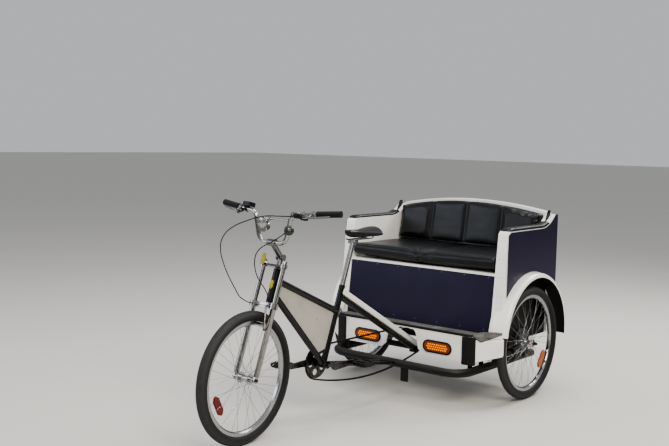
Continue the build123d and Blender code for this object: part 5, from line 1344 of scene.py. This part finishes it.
filmCorners = ((232, 985), (-300, 1040), (-310, 800), (244, 800))
backPlaces = ((566, 1040), (566, 930), (566, 820), (566, 710), (566, 600), (566, 470), (430, 430), (290, 430),
              (145, 430))
rivetSets = {
    "pillarRivets": {"way": -xAxis, "nodes": ("cab_side_left", "cab_side_right"), "radius": 0.0026,
                     "starts": [(500, y, z) for z in (955, 850, 745, 640, 535) for y in (546, 573, -546, -573)]},
    "sheetRivets": {"way": -xAxis, "nodes": ("seat_front",), "radius": 0.0032,
                    "starts": [(500, y, z) for z in (738, 440) for y in range(-480, 481, 160)]},
    "filmRivets": {"way": -yAxis, "nodes": ("cab_side_left",), "radius": 0.0028, "lift": 0.0021,
                   "starts": [(x, 700, z) for x, z in filmCorners]},
    "filmRivetsRight": {"way": yAxis, "nodes": ("cab_side_right",), "radius": 0.0028, "lift": 0.0021,
                        "starts": [(x, -700, z) for x, z in filmCorners]},
    "backRivets": {"way": xAxis, "nodes": ("cab_back",), "radius": 0.0034,
                   "starts": [(-700, side * y, z) for side in (1, -1) for y, z in backPlaces] + [(-700, 0, 430)]},
    "signScrews": {"way": -yAxis, "nodes": ("frame_sign",), "radius": 0.0035, "finish": "machinedSteel",
                   "starts": [(1228, 100, 560), (1330, 100, 735), (1480, 100, 668), (1260, 100, 700)]},
}


def castTo(point, way, nodeNames):
    # Where a ray meets the named CAD nodes first
    best = None
    for name in nodeNames:
        mesh = nodes[name].data
        tree = BVHTree.FromPolygons([v.co for v in mesh.vertices], [tuple(f.vertices) for f in mesh.polygons])
        where, normal, _, distance = tree.ray_cast(point, way)
        if where is not None and (best is None or distance < best[2]):
            best = (where, normal, distance)
    return best


def makeRivets(name, settings):
    places = []
    for start in settings["starts"]:
        found = castTo(at(*start), settings["way"], settings["nodes"])
        if found is None:
            continue
        where, normal = found[:2]
        side = normal.orthogonal().normalized()
        turn = Matrix((side, normal.cross(side), normal)).transposed()
        places.append((where + normal * settings.get("lift", 0.0), turn))
    dome = domeForm(settings["radius"], settings["radius"] * 0.45)
    piece = repeatPiece(name, places, dome, settings.get("finish", "castAluminium"))
    place(piece, "frame", "silver")


for name, settings in rivetSets.items():
    makeRivets(name, settings)
print("rivets done")

# Small things that turn with the bar: lamp glass, display glass, shifters and cable tags

glassSet = {"place": (1635, -28, 1099), "radius": 0.0262, "rise": 0.0062, "rim": 0.0274, "rimThick": 0.0022,
            "rimSteps": 36}


def makeLampGlass(settings):
    # Domed glass in a rolled rim on the front of the head lamp
    centre = parked(*settings["place"])
    forward = (parkedTurn @ xAxis).normalized()
    side = (parkedTurn @ yAxis).normalized()
    up = forward.cross(side)
    turn = Matrix((side, up, forward)).transposed()
    glass = movedForm(domeForm(settings["radius"], settings["rise"], 32), centre, turn)
    addPiece("headLampGlass", glass, "lampGlass", "steering", "silver")
    turns = [2 * math.pi * i / settings["rimSteps"] for i in range(settings["rimSteps"])]
    ring = [centre + (side * math.cos(a) + up * math.sin(a)) * settings["rim"] for a in turns]
    rim = tubeForm(ring, settings["rimThick"], 10, closed=True)
    addPiece("headLampRim", rim, "chromedSteel", "steering", "chrome")


displaySet = {"tilt": 15, "sunk": 0.0062, "half": (0.0195, 0.0195, 0.0022)}


def makeDisplayFace(settings):
    low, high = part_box("bar_display")
    heart = (low + high) / 2
    tilt = math.radians(settings["tilt"])
    up = parkedTurn @ Vector((-math.sin(tilt), 0, math.cos(tilt)))
    ahead = parkedTurn @ Vector((math.cos(tilt), 0, math.sin(tilt)))
    side = up.cross(ahead)
    topMiddle = Vector((heart.x, heart.y, high.z)) - up * settings["sunk"]
    turn = Matrix((ahead, side, up)).transposed()
    form = movedForm(padForm(origin, settings["half"], 7, 3, rings=12, turns=40), topMiddle, turn)
    addPiece("displayGlass", form, "displayGlass", "steering", "black_plastic")


tagSets = {
    "upperTag": {"place": (62, -58, 600), "half": (0.004, 0.013, 0.030)},
    "lowerTag": {"place": (58, 30, 478), "half": (0.004, 0.010, 0.022)},
}


def makeTag(name, settings):
    axes = [(onFork(*way) - onFork(0, 0, 0)).normalized() for way in ((1, 0, 0), (0, 1, 0), (0, 0, 1))]
    tag = padForm(origin, settings["half"], 5, 3, rings=10, turns=20)
    form = movedForm(tag, onFork(*settings["place"]), Matrix(axes).transposed())
    addPiece(name, form, "yellowTag", "steering", "black_plastic")


podSets = {
    1: {"out": 152, "half": (0.014, 0.027, 0.014), "ahead": 3, "drop": 4, "dial": 0.013, "bands": (122, 181)},
    -1: {"out": 232, "half": (0.017, 0.019, 0.013), "ahead": 14, "drop": 12, "dial": 0.009, "bands": ()},
}
barSet = {"from": 116, "span": 256, "ahead": (1585, -58), "high": (1143, 22)}
paddleSet = {"path": ((0.0, 0.006, -0.008), (-0.012, 0.016, -0.017), (-0.022, 0.030, -0.019),
                      (-0.030, 0.041, -0.016)),
             "radius": 0.0042, "flare": 0.0016, "bandRadius": 0.0152, "bandHalf": 4}


def onBar(out, side):
    # A place on the bar's straight upper half, millimetres out from the middle
    share = (out - barSet["from"]) / barSet["span"]
    (ahead, sweep), (high, climb) = barSet["ahead"], barSet["high"]
    return parked(ahead + sweep * share, side * out, high + climb * share)


def makePod(side, settings):
    # Shifter body beside the brake lever's clamp, with its dial, thumb paddle and bar bands
    label = sideNames[side]
    turn = parkedTurn.to_3x3()
    heart = onBar(settings["out"], side) + turn @ Vector((settings["ahead"] / 1000, 0, -settings["drop"] / 1000))
    forms = [movedForm(padForm(origin, settings["half"], 3.2, 2.8, rings=16, turns=28), heart, turn)]
    paddle = [heart + turn @ Vector((x, side * y, z)) for x, y, z in paddleSet["path"]]
    forms.append(tubeForm(paddle, lambda share: paddleSet["radius"] + paddleSet["flare"] * share, 12))
    addPiece("shifterPod" + label, joinForms(forms), "blackAbs", "steering", "black_plastic")
    crown = heart + turn @ Vector((0.002, 0, settings["half"][2] - 0.001))
    forms = [movedForm(domeForm(settings["dial"], settings["dial"] * 0.45, 24), crown, turn)]
    for out in settings["bands"]:
        ends = [onBar(out - paddleSet["bandHalf"], side), onBar(out + paddleSet["bandHalf"], side)]
        forms.append(tubeForm(ends, paddleSet["bandRadius"], 24))
    addPiece("shifterDial" + label, joinForms(forms), "castAluminium", "steering", "silver")


for side in (1, -1):
    makePod(side, podSets[side])
makeLampGlass(glassSet)
makeDisplayFace(displaySet)
for name, settings in tagSets.items():
    makeTag(name, settings)
print("bar done")
